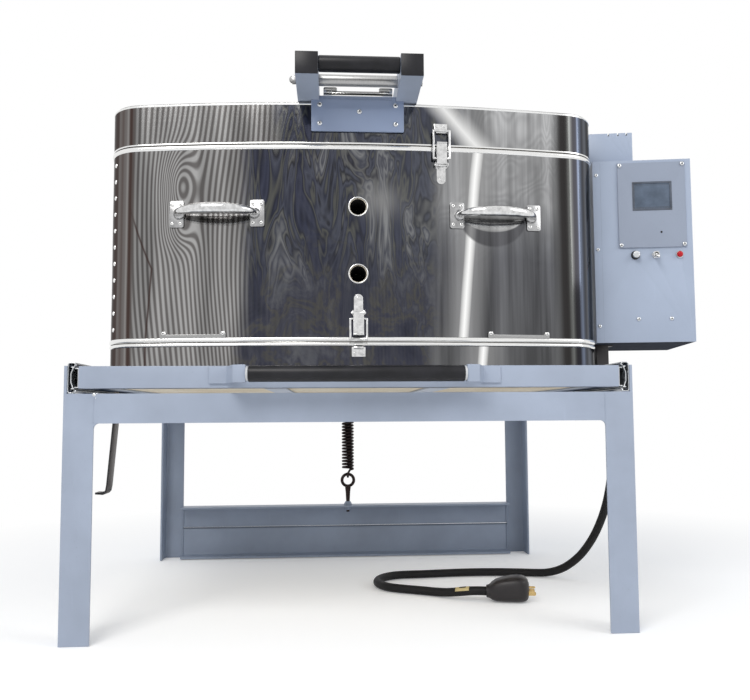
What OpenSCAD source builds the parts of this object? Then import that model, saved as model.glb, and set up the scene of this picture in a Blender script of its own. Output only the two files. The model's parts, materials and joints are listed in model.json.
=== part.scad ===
// Bead annealing kiln: an oval steel-jacketed kiln on an angle-iron stand with a slide-out floor.
// Millimetres, +Z up, front towards -Y, feet on Z = 0.

/* [Stand] */
// Room in the stand behind the chamber's hinge
stand_back = 104; // [90:1:160]
// Height of the leg tops
stand_h = 468; // [400:1:700]
// Flange width of the stand's angle iron
angle_w = 50.8; // [40:0.1:60]
// Thickness of the stand's angle iron
angle_t = 5; // [4:0.5:8]
// Height of the notch in the front legs that shows the slides
notch_h = 47.7; // [46:0.1:60]
// Height of the lower rear crossbar
sill_h = 74; // [50:1:100]
// Height of the upper rear crossbar
rear_bar_h = 57; // [40:1:80]

/* [Slides and tray] */
// Height of the slide's outer member
slide_h = 53; // [45:1:60]
// Width of a slide
slide_w = 19; // [17:0.5:24]
// Flange width of the tray's angle iron
tray_w = 38.1; // [32:0.1:45]
// Thickness of the tray's angle iron
tray_t = 4; // [3:0.5:6]
// Gap between the front rail and the tray
tray_gap = 9; // [5:0.5:15]
// Clearance between the kiln's sides and the tray's angle iron
kiln_gap = 14; // [10:0.5:40]
// Room on the tray behind the kiln
tray_back = 20; // [10:1:30]
// Diameter of the tray's grip
grip_d = 28; // [22:1:34]
// Length of the tray's grip
grip_l = 372; // [250:2:420]
// Distance of the tray's grip from the rail
grip_reach = 45; // [35:1:60]

/* [Kiln body] */
// Width of the kiln over its steel
body_w = 906; // [700:2:1100]
// Depth of the kiln over its steel
body_d = 640; // [500:2:760]
// Radius of the bowed front and back
bow_r = 2600; // [2000:50:4000]
// Radius of the kiln's corners
corner_r = 70; // [60:1:110]
// Thickness of the brick
brick_t = 76; // [60:1:90]
// Thickness of the steel jackets
jacket_t = 1.2; // [0.8:0.1:2]
// Height of the floor section
base_h = 76; // [66:1:90]
// Height of the chamber
chamber_h = 354; // [330:1:420]
// Height of the lid
lid_h = 76; // [70:1:90]
// Height of the bright rims
rim_h = 7; // [5:0.5:10]
// Offset of the kiln from the stand's centre
kiln_x = 7; // [0:1:15]
// Distance of the kiln's front behind the stand's front
kiln_y = 8; // [6:0.5:12]
// Bore of the peepholes
peep_d = 31; // [20:1:36]
// Distance between the peepholes
peep_pitch = 121; // [110:1:140]

/* [Lifting arms] */
// Width of the square tube of the arms
arm_w = 38.1; // [30:0.1:42]
// Wall of the square tube
arm_wall = 3; // [2:0.5:4]
// Distance between the centres of the arms
arm_pitch = 176; // [150:1:200]
// Overhang of the arms in front of the kiln
arm_reach = 108; // [90:1:130]
// Diameter of the lifting grip
lift_d = 27; // [22:1:32]
// Diameter of the spacer tube
spacer_d = 20; // [16:1:24]
// Width of the lid's front plate
plate_w = 166; // [140:1:200]
// Height of the lid's front plate
plate_h = 65; // [50:1:75]

/* [Control box] */
// Width of the control box
box_w = 190; // [180:1:240]
// Height of the control box
box_h = 365; // [340:1:400]
// Depth of the control box
box_d = 200; // [160:1:240]
// Turn of the control box towards the operator in degrees
box_turn = 9; // [0:1:15]
// Thickness of the box's sheet
sheet_t = 1.5; // [1:0.1:2.5]
// Width of the controller's plate
panel_w = 130; // [120:1:150]
// Height of the controller's plate
panel_h = 171; // [150:1:180]
// Width of the screen's glass
screen_w = 70; // [60:1:80]
// Height of the screen's glass
screen_h = 52; // [45:1:60]

/* [Rear hinges] */
// Diameter of the hinge rods
rod_d = 16; // [12:1:20]
// Running clearance of the hinge rods
rod_gap = 0.08; // [0.03:0.01:0.1]
// Distance of the hinge rods behind the kiln
hinge_back = 48; // [44:1:60]
// Thickness of the hinge plates
ear_t = 8; // [6:0.5:10]
// Half the distance between the hinge plates
ear_x = 230; // [200:5:280]

/* [Spring] */
// Outer diameter of the counterbalance spring
spring_d = 34; // [28:1:40]
// Wire of the spring
spring_wire = 5.5; // [4:0.5:6.5]
// Pitch of the spring's turns
spring_pitch = 9; // [8:0.5:12]

/* [Latches and handles] */
// Length of a side handle
handle_l = 170; // [140:2:200]
// Diameter of a side handle's bar
handle_d = 16; // [10:1:20]
// Reach of a side handle in front of its plates
handle_reach = 38; // [32:1:50]
// Distance of the side handles from the centre
handle_x = 250; // [220:1:280]
// Wire of the latch bails
bail_d = 4; // [3:0.5:5]
// Distance of the upper latch from the centre
latch_x = 150; // [130:1:170]

/* [Hidden] */
$fn = 48;

paint = [0.66, 0.71, 0.78];
steel = [0.62, 0.63, 0.65];
zinc = [0.8, 0.81, 0.82];
brick = [0.9, 0.85, 0.74];
rubber = [0.1, 0.1, 0.11];
dark = [0.16, 0.15, 0.15];

// Small clearance between pieces that move past each other
gap = 0.5;
stand_w = body_w + 2 * (kiln_gap + tray_t + slide_w + angle_t);
tray_d = kiln_y + body_d + tray_back;
slide_len = tray_d + 12;
rail_top = stand_h - notch_h;
slide_z = rail_top + gap;
slide_x = stand_w / 2 - angle_t;
slide_y = 2;
tray_x = slide_x - slide_w;
tray_z = rail_top + tray_gap;
base_z = tray_z + tray_t;
seal_gap = 1;
chamber_z = base_z + base_h + seal_gap;
lid_z = chamber_z + chamber_h + seal_gap;
lid_top = lid_z + lid_h;
kiln_mid_y = kiln_y + body_d / 2;
half_w = body_w / 2;
half_d = body_d / 2;
wall_t = jacket_t + brick_t;
hinge_y = kiln_y + body_d + hinge_back;
stand_d = hinge_y + stand_back;
chamber_hinge_z = chamber_z - 11;
lid_hinge_z = lid_z + lid_h / 2;
peep_z = chamber_z + chamber_h / 2 + 4;
arm_z = lid_top + 3;
arm_tip_y = kiln_y - arm_reach;
arm_mid_z = arm_z + arm_w / 2;
lift_grip_z = arm_mid_z + 6;
spacer_z = arm_mid_z + 3;
spacer_y = kiln_y - 35;
grip_y = arm_tip_y + lift_d / 2 + 2.5;
box_x = stand_w / 2 - 13;
box_y = kiln_y + 133;
box_z = chamber_z + 10;
rear_bar_z = sill_h + 6;
rear_bar_top = rear_bar_z + rear_bar_h;
mid_x = (box_x + box_w * cos(box_turn) + box_d * sin(box_turn) - stand_w / 2) / 2;
mid_y = (stand_d + arm_tip_y - 2) / 2;

// Everything is drawn from the stand's front centre and set about the middle of the whole kiln
module place() translate([-mid_x, -mid_y, 0]) children();
module both(x = 0) for (s = [0, 1]) translate([x, 0, 0]) mirror([s, 0, 0]) translate([-x, 0, 0]) children();
module at_kiln() translate([kiln_x, 0, 0]) children();
module rod_x(d, l) rotate([0, 90, 0]) cylinder(d = d, h = l, center = true);
module rod_y(d, l) rotate([-90, 0, 0]) cylinder(d = d, h = l);
module hex(d, h) cylinder(d = d, h = h, $fn = 6);

// Angle iron standing up, with its flanges along +X and +Y
module angle_up(w, t, l) linear_extrude(l) polygon([[0, 0], [w, 0], [w, t], [t, t], [t, w], [0, w]]);
// Angle iron lying along +X: one flange stands at Y = 0, the other lies at the foot or the head
module angle_x(w, h, t, l, head = false) translate([0, 0, head ? h : 0]) mirror([0, 0, head ? 1 : 0])
    rotate([90, 0, 90]) linear_extrude(l) polygon([[0, 0], [w, 0], [w, t], [t, t], [t, h], [0, h]]);

// A round bar or tube swept along points
function unit(v) = v / norm(v);
function along(p, i) = unit(p[min(i + 1, len(p) - 1)] - p[max(i - 1, 0)]);
function across(p, start) = [for (i = 0, n = unit(start - (start * along(p, 0)) * along(p, 0)); i < len(p);
    i = i + 1, n = i < len(p) ? unit(n - (n * along(p, i)) * along(p, i)) : n) n];
module tube(p, d, sides, start = [0, 0, 1]) {
    n = across(p, start);
    rings = [for (i = [0 : len(p) - 1], k = [0 : sides - 1]) let (a = 360 * k / sides)
        p[i] + d / 2 * (cos(a) * n[i] + sin(a) * cross(along(p, i), n[i]))];
    walls = [for (i = [0 : len(p) - 2], k = [0 : sides - 1]) let (m = (k + 1) % sides, r = i * sides)
        [r + k, r + sides + k, r + sides + m, r + m]];
    last = (len(p) - 1) * sides;
    polyhedron(rings, concat(walls, [[for (k = [0 : sides - 1]) k]],
        [[for (k = [sides - 1 : -1 : 0]) last + k]]), convexity = 10);
}

// Outline of the kiln's steel, set in by inset, as bowed front and back with round corners
bow_y = bow_r - half_d;
inner_r = 14;
bow_steps = 10;
corner_steps = 8;
function quarter(inset) = let (
    r = max(corner_r - inset, inner_r),
    big = bow_r - inset,
    cx = half_w - inset - r,
    cy = sqrt(pow(big - r, 2) - cx * cx) - bow_y,
    turn = atan2(cx, cy + bow_y)
) concat(
    [for (i = [0 : bow_steps - 1]) let (a = turn * i / bow_steps) [big * sin(a), big * cos(a) - bow_y]],
    [for (i = [0 : corner_steps]) let (a = turn + (90 - turn) * i / corner_steps)
        [cx + r * sin(a), cy + r * cos(a)]]);
function flipped(q, sx, sy) = [for (i = [len(q) - 1 : -1 : 0]) [sx * q[i][0], sy * q[i][1]]];
function outline(inset) = let (q = quarter(inset), n = len(q)) concat(
    q, flipped(q, 1, -1), [for (i = [1 : n - 1]) [-q[i][0], -q[i][1]]],
    [for (i = [n - 1 : -1 : 1]) [-q[i][0], q[i][1]]]);
// Height of the bowed front at x from the kiln's middle, measured back from the front
function bow(x) = bow_r - sqrt(bow_r * bow_r - x * x);
module slab(inset, z, h) translate([kiln_x, kiln_mid_y, z]) linear_extrude(h) polygon(outline(inset));
module ring(inset, t, z, h) translate([kiln_x, kiln_mid_y, z]) linear_extrude(h) difference() {
    polygon(outline(inset));
    polygon(outline(inset + t));
}
// Sets children on the kiln's front at x, looking along +Y
module on_front(x, z, inset = 0) translate([kiln_x + x, kiln_y + bow(x) + inset, z])
    rotate([0, 0, asin(x / bow_r)]) children();

// Stand
module front_leg() difference() {
    translate([-stand_w / 2, 0, 0]) angle_up(angle_w, angle_t, stand_h);
    translate([-stand_w / 2 + angle_t, -1, rail_top]) cube([angle_w, angle_t + 2, notch_h + 1]);
}
module front_legs() color(paint) place() both() front_leg();
module rear_legs() color(paint) place() both() translate([-stand_w / 2, stand_d, 0]) mirror([0, 1, 0])
    angle_up(angle_w, angle_t, stand_h);
inner_w = stand_w - 2 * angle_w;
module front_rail() color(paint) place() translate([-inner_w / 2, 0, rail_top - angle_w])
    angle_x(angle_w, angle_w, angle_t, inner_w, head = true);
module side_rails() color(paint) place() {
    both() translate([-stand_w / 2, angle_w, slide_z - angle_t]) rotate([-90, 0, 0]) mirror([0, 1, 0])
        angle_up(angle_w, angle_t, stand_d - 2 * angle_w);
    translate([-inner_w / 2, stand_d - angle_t, stand_h - angle_w]) cube([inner_w, angle_t, angle_w]);
}
eye_y = stand_d - 25;
spring_x = 2;
module rear_crossbars() color(paint) place() translate([-inner_w / 2, stand_d, 0]) mirror([0, 1, 0]) {
    translate([0, 0, 2]) angle_x(45, sill_h, angle_t, inner_w);
    difference() {
        translate([0, 0, rear_bar_z]) angle_x(45, rear_bar_h, angle_t, inner_w, head = true);
        translate([inner_w / 2 + spring_x, stand_d - eye_y, rear_bar_top - 2 * angle_t])
            cylinder(d = 9, h = 20);
    }
}

// Slides: an outer member on the stand, a middle member with its balls, and an inner member on the tray
race = slide_h / 2;
module slide_section(points) translate([-slide_x, slide_y, slide_z + race]) rotate([90, 0, 0])
    mirror([0, 0, 1]) linear_extrude(slide_len) polygon(points);
function tops(p) = concat(p, [for (i = [len(p) - 1 : -1 : 0]) [p[i][0], -p[i][1]]]);
outer_points = tops([[0, race - 3], [3, race], [12, race], [15, race - 3], [15, race - 6], [13.4, race - 6],
    [13.4, race - 3.4], [11.4, race - 1.6], [3.4, race - 1.6], [1.6, race - 3.4]]);
middle_points = tops([[5, 8], [8.4, 16.4], [6, 17.8], [6, 19.4], [11.6, 19.4], [11.6, 17.8], [10.4, 17],
    [6.6, 7.4]]);
inner_points = tops([[slide_w, race - 9.5], [slide_w - 7, race - 9.5], [slide_w - 7, race - 11.1],
    [slide_w - 1.6, race - 11.1]]);
module slide_outer_members() color(zinc) place() both() slide_section(outer_points);
module slide_middle_members() color(zinc) place() both() translate([0, gap, 0]) slide_section(middle_points);
module slide_inner_members() color(zinc) place() both() slide_section(inner_points);
ball_d = 4.4;
ball_pitch = 40;
module slide_balls() color(steel) place() both()
    for (y = [slide_y + 12 : ball_pitch : slide_len - 10], s = [-1, 1])
        translate([-slide_x + 8.8, y, slide_z + race + s * 22.1]) sphere(d = ball_d, $fn = 24);
screw_step = 192;
module slide_screws() both() for (y = [slide_y + 52 : screw_step : slide_len], z = [-5, 5])
    translate([-slide_x + 1.6, y, slide_z + race + z]) rotate([0, 90, 0]) cylinder(d = 7, h = 2, $fn = 24);

// Tray: an angle frame round the floor section, with its handle
tray_top = tray_z + tray_w;
module tray_frame() color(paint) place() {
    difference() {
        translate([-tray_x, 0, tray_z]) cube([2 * tray_x, tray_d, tray_w]);
        translate([-tray_x + tray_t, tray_t, base_z])
            cube([2 * (tray_x - tray_t), tray_d - 2 * tray_t, tray_w]);
        translate([-tray_x + tray_w, tray_w, tray_z - 1])
            cube([2 * (tray_x - tray_w), tray_d - 2 * tray_w, tray_t + 2]);
    }
    for (x = [-1, 1]) translate([kiln_x + x * 150 - tray_w / 2, tray_w, tray_z])
        cube([tray_w, tray_d - 2 * tray_w, tray_t]);
}
bracket_l = 68;
bracket_h = 30;
grip_z = tray_z + 22;
tray_grip_x = kiln_x - 4;
module handle_bracket() translate([tray_grip_x - grip_l / 2 - bracket_l, 0, grip_z - bracket_h / 2])
    linear_extrude(bracket_h) polygon([[0, 0], [0, -4], [30, -4], [46, -grip_reach - 4],
        [bracket_l - 8, -grip_reach - 8], [bracket_l, -grip_reach - 8], [bracket_l, -grip_reach + 8],
        [bracket_l - 6, -grip_reach + 8], [bracket_l - 6, -grip_reach], [50, -grip_reach], [34, 0]]);
module tray_handle_brackets() color(paint) place() both(tray_grip_x) handle_bracket();
module tray_handle_grip() place() translate([tray_grip_x, -grip_reach, grip_z]) {
    color(rubber) rod_x(grip_d, grip_l - 8);
    color(zinc) for (s = [-1, 1]) translate([s * (grip_l / 2 - 2), 0, 0]) rod_x(grip_d - 4, 4);
}

// Lock lever: hangs free behind the front rail and presses up on the tray when it is swung
lock_x = -inner_w / 2 + 16.2;
lock_y = angle_w + 30;
lock_z = rail_top - 26;
lever_t = 6;
lever_w = 24;
pin_d = 8;
module lock_bracket() color(paint) place() translate([lock_x - lever_t / 2 - gap - 4, angle_w, lock_z - 14])
    difference() {
        cube([4, 44, rail_top - lock_z + 14]);
        translate([-1, lock_y - angle_w, 14]) rotate([0, 90, 0]) cylinder(d = pin_d + 2 * rod_gap, h = 6);
    }
module lock_bolt() color(zinc) place() translate([lock_x, lock_y, lock_z]) {
    rod_x(pin_d, 2 * lever_t + 10);
    for (s = [-1, 1]) translate([s * (lever_t + 7), 0, 0]) rotate([0, 90, 0]) translate([0, 0, -2])
        cylinder(d = 14, h = 4);
}
lever_drop = 150;
cam_h = sqrt(pow(tray_z - lock_z - gap, 2) - pow(lever_w / 2, 2));
module tray_lock_lever() color(dark) place() translate([lock_x, lock_y, lock_z]) difference() {
    union() {
        translate([-lever_t / 2, -lever_w / 2, -lever_drop]) cube([lever_t, lever_w, lever_drop]);
        rotate([0, 90, 0]) translate([0, 0, -lever_t / 2]) cylinder(d = lever_w, h = lever_t);
        translate([-lever_t / 2, -lever_w / 2, 0]) cube([lever_t, lever_w / 2, cam_h]);
        translate([-32, -lever_w / 2, -lever_drop]) cube([32 - lever_t / 2, lever_w, 5]);
    }
    rod_x(pin_d + 2 * rod_gap, 20);
}

// Floor section on the tray
module base_jacket() color(steel) place() {
    ring(0, jacket_t, base_z, base_h);
    ring(-jacket_t, jacket_t, base_z + base_h - rim_h, rim_h);
}
module base_bricks() color(brick) place() slab(jacket_t, base_z, base_h);

// Chamber: brick courses in a steel jacket, with element grooves and two peepholes
courses = 3;
brick_count = 10;
course_h = chamber_h / courses;
groove = 14;
joint_w = 0.8;
module peep_bores(d) for (s = [-1, 1]) at_kiln()
    translate([0, kiln_y - 20, peep_z + s * peep_pitch / 2]) rod_y(d, wall_t + 60);
thermo_x = 60;
thermo_d = 6;
thermo_z = chamber_z + course_h * 2.5;
module at_thermo() translate([kiln_x + thermo_x, kiln_y + body_d - bow(thermo_x - 18), thermo_z]) children();
module chamber_jacket() color(steel) place() {
    difference() {
        ring(0, jacket_t, chamber_z, chamber_h);
        peep_bores(peep_d);
        at_thermo() translate([0, -wall_t, 0]) rod_y(thermo_d + gap, 2 * wall_t);
    }
    for (z = [chamber_z, chamber_z + chamber_h - rim_h]) ring(-jacket_t, jacket_t, z, rim_h);
}
module chamber_bricks() color(brick) place() difference() {
    ring(jacket_t, brick_t, chamber_z, chamber_h);
    for (c = [1 : courses - 1]) ring(0, wall_t + 1, chamber_z + c * course_h, joint_w);
    for (c = [0 : courses - 1], g = [0.28, 0.72])
        ring(wall_t - groove, groove + 1, chamber_z + (c + g) * course_h - groove / 2, groove);
    for (i = [0 : brick_count - 1]) translate([kiln_x, kiln_mid_y, chamber_z - 1])
        rotate([0, 0, (i + 0.5) * 360 / brick_count]) translate([0, -joint_w / 2, 0])
            cube([body_w, joint_w, chamber_h + 2]);
    peep_bores(peep_d - 2);
    at_thermo() translate([0, -2 * wall_t, 0]) rod_y(thermo_d + gap, 3 * wall_t);
}
coil_d = 9;
module heating_elements() color(dark) place() difference() {
    for (c = [0 : courses - 1], g = [0.28, 0.72])
        ring(wall_t - coil_d - 2, coil_d, chamber_z + (c + g) * course_h - groove / 2 + 2, coil_d);
    peep_bores(peep_d + 4);
}
module peephole_rings() color(zinc) place() for (s = [-1, 1])
    translate([kiln_x, kiln_y, peep_z + s * peep_pitch / 2]) rotate([90, 0, 0]) difference() {
        cylinder(d = peep_d + 5, h = 2);
        translate([0, 0, -1]) cylinder(d = peep_d, h = 4);
    }
module thermocouple() color(dark) place() at_thermo() {
    rotate([90, 0, 0]) cylinder(d = thermo_d, h = wall_t + 30);
    translate([-18, 0, -12]) cube([36, 26, 24]);
}

// Side handles of bent bar on bolted plates
handle_z = chamber_z + chamber_h * 0.645;
plate_l = 26;
plate_tall = 48;
plate_bolt = plate_l / 2;
function handle_arc(t) = handle_reach * pow(sin(180 * t), 0.45);
handle_steps = 14;
handle_path = [for (k = [0 : handle_steps]) let (t = k / handle_steps)
    [(t - 0.5) * (handle_l - 2 * plate_l + 8), -handle_d / 2 - 2.5 - handle_arc(t), 0]];
module handle_bar(x) on_front(x, handle_z) tube(handle_path, handle_d, 10);
module side_handle_bars() color(zinc) place() {
    handle_bar(-handle_x);
    handle_bar(handle_x);
}
module side_handle_plates() color(zinc) place() for (x = [-handle_x, handle_x], s = [-1, 1])
    on_front(x, handle_z) translate([s * (handle_l - plate_l) / 2 - plate_l / 2, -2.5, -plate_tall / 2])
        cube([plate_l, 2.3, plate_tall]);
bolt_z = plate_tall / 3;
clip_w = 106;
clip_x = 290;
clip_z = chamber_z + rim_h;
module screw_head(d, h) rotate([90, 0, 0]) cylinder(d = d, h = h, $fn = 24);
module chamber_fasteners() color(zinc) place() {
    for (x = [-handle_x, handle_x], s = [-1, 1], z = [-bolt_z, bolt_z])
        on_front(x, handle_z + z) translate([s * (handle_l / 2 - plate_bolt), -2.5, 0]) screw_head(7, 3.5);
    for (x = [-clip_x, clip_x], s = [-1, 1]) on_front(x, clip_z + 6)
        translate([s * clip_w / 2, -2, 0]) screw_head(6, 2);
}
module rim_clips() color(steel) place() for (x = [-clip_x, clip_x])
    on_front(x, clip_z) translate([-clip_w / 2 - 5, -2, 0.2]) cube([clip_w + 10, 1.8, 12]);

// Rear hinges: the chamber turns on a rod in the stand's brackets, the lid on a rod the chamber carries
eye_d = rod_d + 20;
module stand_hinge_brackets() color(paint) place() at_kiln() for (s = [-1, 1])
    translate([s * ear_x - ear_t / 2, 0, 0]) difference() {
        union() {
            translate([0, hinge_y, stand_h - angle_w]) cube([ear_t, stand_d - angle_t - hinge_y, angle_w]);
            translate([0, hinge_y - eye_d / 2, stand_h - angle_w])
                cube([ear_t, eye_d, chamber_hinge_z - stand_h + angle_w]);
            translate([0, hinge_y, chamber_hinge_z]) rotate([0, 90, 0]) cylinder(d = eye_d, h = ear_t);
        }
        translate([-1, hinge_y, chamber_hinge_z]) rotate([0, 90, 0])
            cylinder(d = rod_d + 2 * rod_gap, h = ear_t + 2);
    }
module hinge_rod(l) {
    rod_x(rod_d, l);
    for (s = [-1, 1]) translate([s * (l / 2 + 3), 0, 0]) rod_x(rod_d + 8, 6);
}
upright_x = ear_x - ear_t - 1;
module chamber_hinge_rod() color(zinc) place() translate([kiln_x, hinge_y, chamber_hinge_z])
    hinge_rod(2 * ear_x + ear_t + 6);
tail_y = eye_y - hinge_y;
lug_t = 6;
lug_hole = 13;
module upright() translate([upright_x - ear_t / 2, 0, 0]) difference() {
    union() {
        translate([0, hinge_y - eye_d / 2, chamber_hinge_z])
            cube([ear_t, eye_d, lid_hinge_z - chamber_hinge_z]);
        for (z = [chamber_hinge_z, lid_hinge_z]) translate([0, hinge_y, z]) rotate([0, 90, 0])
            cylinder(d = eye_d, h = ear_t);
        for (z = [chamber_z + 45, chamber_z + chamber_h - 95])
            translate([0, kiln_y + body_d - bow(upright_x - ear_t / 2), z]) cube([ear_t, hinge_back, 50]);
    }
    for (z = [chamber_hinge_z, lid_hinge_z]) translate([-1, hinge_y, z]) rotate([0, 90, 0])
        cylinder(d = rod_d + 2 * rod_gap, h = ear_t + 2);
}
pad_w = 50;
pad_h = 120;
module chamber_hinge_arms() color(paint) place() at_kiln() difference() {
    union() {
        both() upright();
        translate([0, hinge_y, chamber_hinge_z]) rod_x(rod_d + 10, 2 * upright_x - ear_t);
        translate([spring_x - kiln_x - lug_t / 2, hinge_y, chamber_hinge_z - 12])
            cube([lug_t, tail_y + 14, 24]);
        for (s = [-1, 1], z = [chamber_z + 10, chamber_z + chamber_h - pad_h - 10])
            translate([s * upright_x, kiln_y + body_d - bow(upright_x), z])
                rotate([0, 0, -s * asin(upright_x / bow_r)]) translate([-pad_w / 2, 0.3, 0])
                    cube([pad_w, 4, pad_h]);
    }
    translate([0, hinge_y, chamber_hinge_z]) rod_x(rod_d + 2 * rod_gap, 2 * ear_x);
    translate([spring_x - kiln_x, eye_y, chamber_hinge_z]) rod_x(lug_hole, 2 * lug_t);
}
module lid_hinge_rod() color(zinc) place() translate([kiln_x, hinge_y, lid_hinge_z])
    hinge_rod(2 * upright_x + ear_t + 4);

// Counterbalance spring between an eye bolt on the rear crossbar and the lug on the chamber's hinge tube
eye_ring = 16;
eye_wire = 8;
eye_z = rear_bar_top + 67;
module spring_eye_bolt() color(dark) place() translate([spring_x, eye_y, 0]) {
    translate([0, 0, eye_z]) rotate([90, 0, 0])
        rotate_extrude() translate([eye_ring, 0]) circle(d = eye_wire);
    translate([0, 0, rear_bar_top - angle_t - 14])
        cylinder(d = 8.8, h = eye_z - eye_ring - rear_bar_top + 19);
    translate([0, 0, rear_bar_top + 0.1]) cylinder(d1 = 22, d2 = 11, h = 8);
    translate([0, 0, rear_bar_top - angle_t - 8.1]) hex(15, 8);
}
hook_r = spring_d / 2 - spring_wire / 2;
spring_low = eye_z + eye_ring - eye_wire / 2 - spring_wire / 2 - 0.5;
spring_high = chamber_hinge_z - lug_hole / 2 + spring_wire / 2 + 1;
coil_low = spring_low + hook_r + 6;
coil_high = spring_high - 2 * hook_r - 2;
turns = floor((coil_high - coil_low) / spring_pitch) - 0.25;
turn_steps = 8;
coil_steps = floor(turns * turn_steps);
low_hook = [for (a = [-60 : 30 : 60]) [0, -hook_r * sin(a), spring_low + hook_r * (1 - cos(a))]];
coil = [for (i = [1 : coil_steps]) let (a = 360 * turns * i / coil_steps)
    [hook_r * sin(a), -hook_r * cos(a), coil_low + (coil_high - coil_low) * i / coil_steps]];
high_hook = [for (a = [0 : 36 : 216]) [-hook_r * cos(a), 0, spring_high - hook_r * (1 - sin(a))]];
module counterbalance_spring() color(dark) place() translate([spring_x, eye_y, 0])
    tube(concat(low_hook, coil, high_hook), spring_wire, 5, [1, 0, 0]);

// Lid: a brick slab in a steel jacket
module lid_jacket() color(steel) place() {
    ring(0, jacket_t, lid_z, lid_h);
    slab(0, lid_top, jacket_t);
    ring(-1, 1, lid_z, 3);
}
module lid_bricks() color(brick) place() slab(jacket_t, lid_z, lid_h);

// Two square tubes carry the lid from its rear hinge to the grip in front
arm_back = hinge_y + eye_d / 2;
arm_l = arm_back - arm_tip_y;
module both_arms() at_kiln() for (s = [-1, 1]) translate([s * arm_pitch / 2, 0, 0]) children();
module lift_arms() color(paint) place() difference() {
    both_arms() {
        difference() {
            translate([-arm_w / 2, arm_tip_y, arm_z]) cube([arm_w, arm_l, arm_w]);
            translate([-arm_w / 2 + arm_wall, arm_tip_y - 1, arm_z + arm_wall])
                cube([arm_w - 2 * arm_wall, arm_l + 2, arm_w - 2 * arm_wall]);
        }
        for (s = [-1, 1]) translate([s * (arm_w / 2 - ear_t / 2) - ear_t / 2, 0, 0]) {
            translate([0, hinge_y - eye_d / 2, lid_hinge_z]) cube([ear_t, eye_d, arm_z - lid_hinge_z]);
            translate([0, hinge_y, lid_hinge_z]) rotate([0, 90, 0]) cylinder(d = eye_d, h = ear_t);
        }
        for (y = [kiln_y + 70, kiln_y + body_d - 110]) translate([-arm_w / 2, y, lid_top + jacket_t])
            cube([arm_w, 60, arm_z - lid_top - jacket_t]);
    }
    both_arms() {
        translate([0, hinge_y, lid_hinge_z]) rod_x(rod_d + 2 * rod_gap, 2 * arm_w);
        translate([0, grip_y, lift_grip_z]) rod_x(pin_d, 2 * arm_w);
        translate([0, spacer_y, spacer_z]) rod_x(pin_d, 2 * arm_w);
    }
}
cap_t = 2;
module arm_caps() color(rubber) place() both_arms() {
    translate([-arm_w / 2, arm_tip_y - cap_t, arm_z]) cube([arm_w, cap_t, arm_w]);
    translate([-arm_w / 2 + arm_wall, arm_tip_y, arm_z + arm_wall])
        cube([arm_w - 2 * arm_wall, 8, arm_w - 2 * arm_wall]);
}
span = arm_pitch - arm_w;
module lift_grip() place() at_kiln() translate([0, grip_y, lift_grip_z]) {
    color(rubber) difference() {
        rod_x(lift_d, span);
        rod_x(pin_d, span + 2);
    }
    color(zinc) rod_x(pin_d, span + 2 * arm_w);
}
module lift_spacer_bolt() color(zinc) place() at_kiln() translate([0, spacer_y, spacer_z]) {
    rod_x(spacer_d, span);
    rod_x(pin_d, span + 2 * arm_w + 12);
    translate([-span / 2 - arm_w, 0, 0]) rotate([0, -90, 0]) {
        hex(17, 8);
        translate([0, 0, 7]) sphere(d = 13);
    }
    translate([span / 2 + arm_w, 0, 0]) rotate([0, 90, 0]) hex(15, 6);
}
plate_t = 4;
plate_top = lid_top + 11;
plate_y = kiln_y - plate_t - 0.2;
channel_w = span - 16;
channel_t = 3;
channel_y = spacer_y + spacer_d / 2 + 0.5;
module lid_front_plate() place() at_kiln() {
    color(paint) {
        translate([-plate_w / 2, plate_y, plate_top - plate_h])
            cube([plate_w, plate_t, arm_z - plate_top + plate_h]);
        translate([-span / 2, plate_y, arm_z - 1]) cube([span, plate_t, plate_top - arm_z + 1]);
    }
    color(zinc) {
        for (x = [15 - plate_w / 2, plate_w / 2 - 15], z = [17, 51]) translate([x, plate_y, plate_top - z])
            screw_head(9, 2.5);
        translate([0, plate_y, plate_top - 29]) screw_head(9, 2.5);
        translate([-channel_w / 2, channel_y, lid_top + 2]) cube([channel_w, channel_t, 9]);
        translate([-channel_w / 2, channel_y, lid_top + 4])
            cube([channel_w, plate_y - channel_y, channel_t]);
        for (s = [-1, 1]) translate([s * (channel_w / 2 - 12) - 12, channel_y, lid_top + 10])
            cube([24, channel_t, 8]);
        translate([-span / 2 + 8, spacer_y + spacer_d / 2, plate_top + 3])
            cube([span - 16, kiln_y - spacer_y - spacer_d / 2 + 14, 3]);
        translate([-span / 2 + 8, plate_y, plate_top]) cube([span - 16, plate_t, 3]);
    }
}

// Draw latches: a base and lever on the chamber, a wire bail on the lever, and a keeper on the next section
pivot_v = 62;
bail_v = 51;
lever_v = 22;
base_v = 96;
pivot_out = 6;
bail_out = 9;
bail_x = 14.75;
latch_pin = 5;
upper_tip = chamber_z + chamber_h + 27;
lower_tip = chamber_z - 12;
lower_bail_v = chamber_z + 1 + bail_d / 2 - lower_tip;
module upper_latch() on_front(latch_x, upper_tip) mirror([0, 0, 1]) children();
module lower_latch() on_front(0, lower_tip) children();
module latch_base() {
    translate([-8, -2, 37]) cube([16, 1.7, base_v - 45]);
    translate([0, -0.3, base_v - 8]) screw_head(16, 1.7);
    translate([0, -2, base_v - 8]) screw_head(6, 1.5);
    for (s = [-1, 1]) translate([s * 10.75, 0, pivot_v]) difference() {
        union() {
            translate([0, -pivot_out, 0]) rod_x(11, 1.5);
            translate([-0.75, -pivot_out, -5.5]) cube([1.5, pivot_out - 0.3, 11]);
        }
        translate([0, -pivot_out, 0]) rod_x(latch_pin + 2 * rod_gap, 4);
    }
    for (s = [-1, 1]) translate([s * 8 - (s > 0 ? 0 : 3.5), -2, pivot_v - 5.5]) cube([3.5, 1.7, 11]);
}
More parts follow.
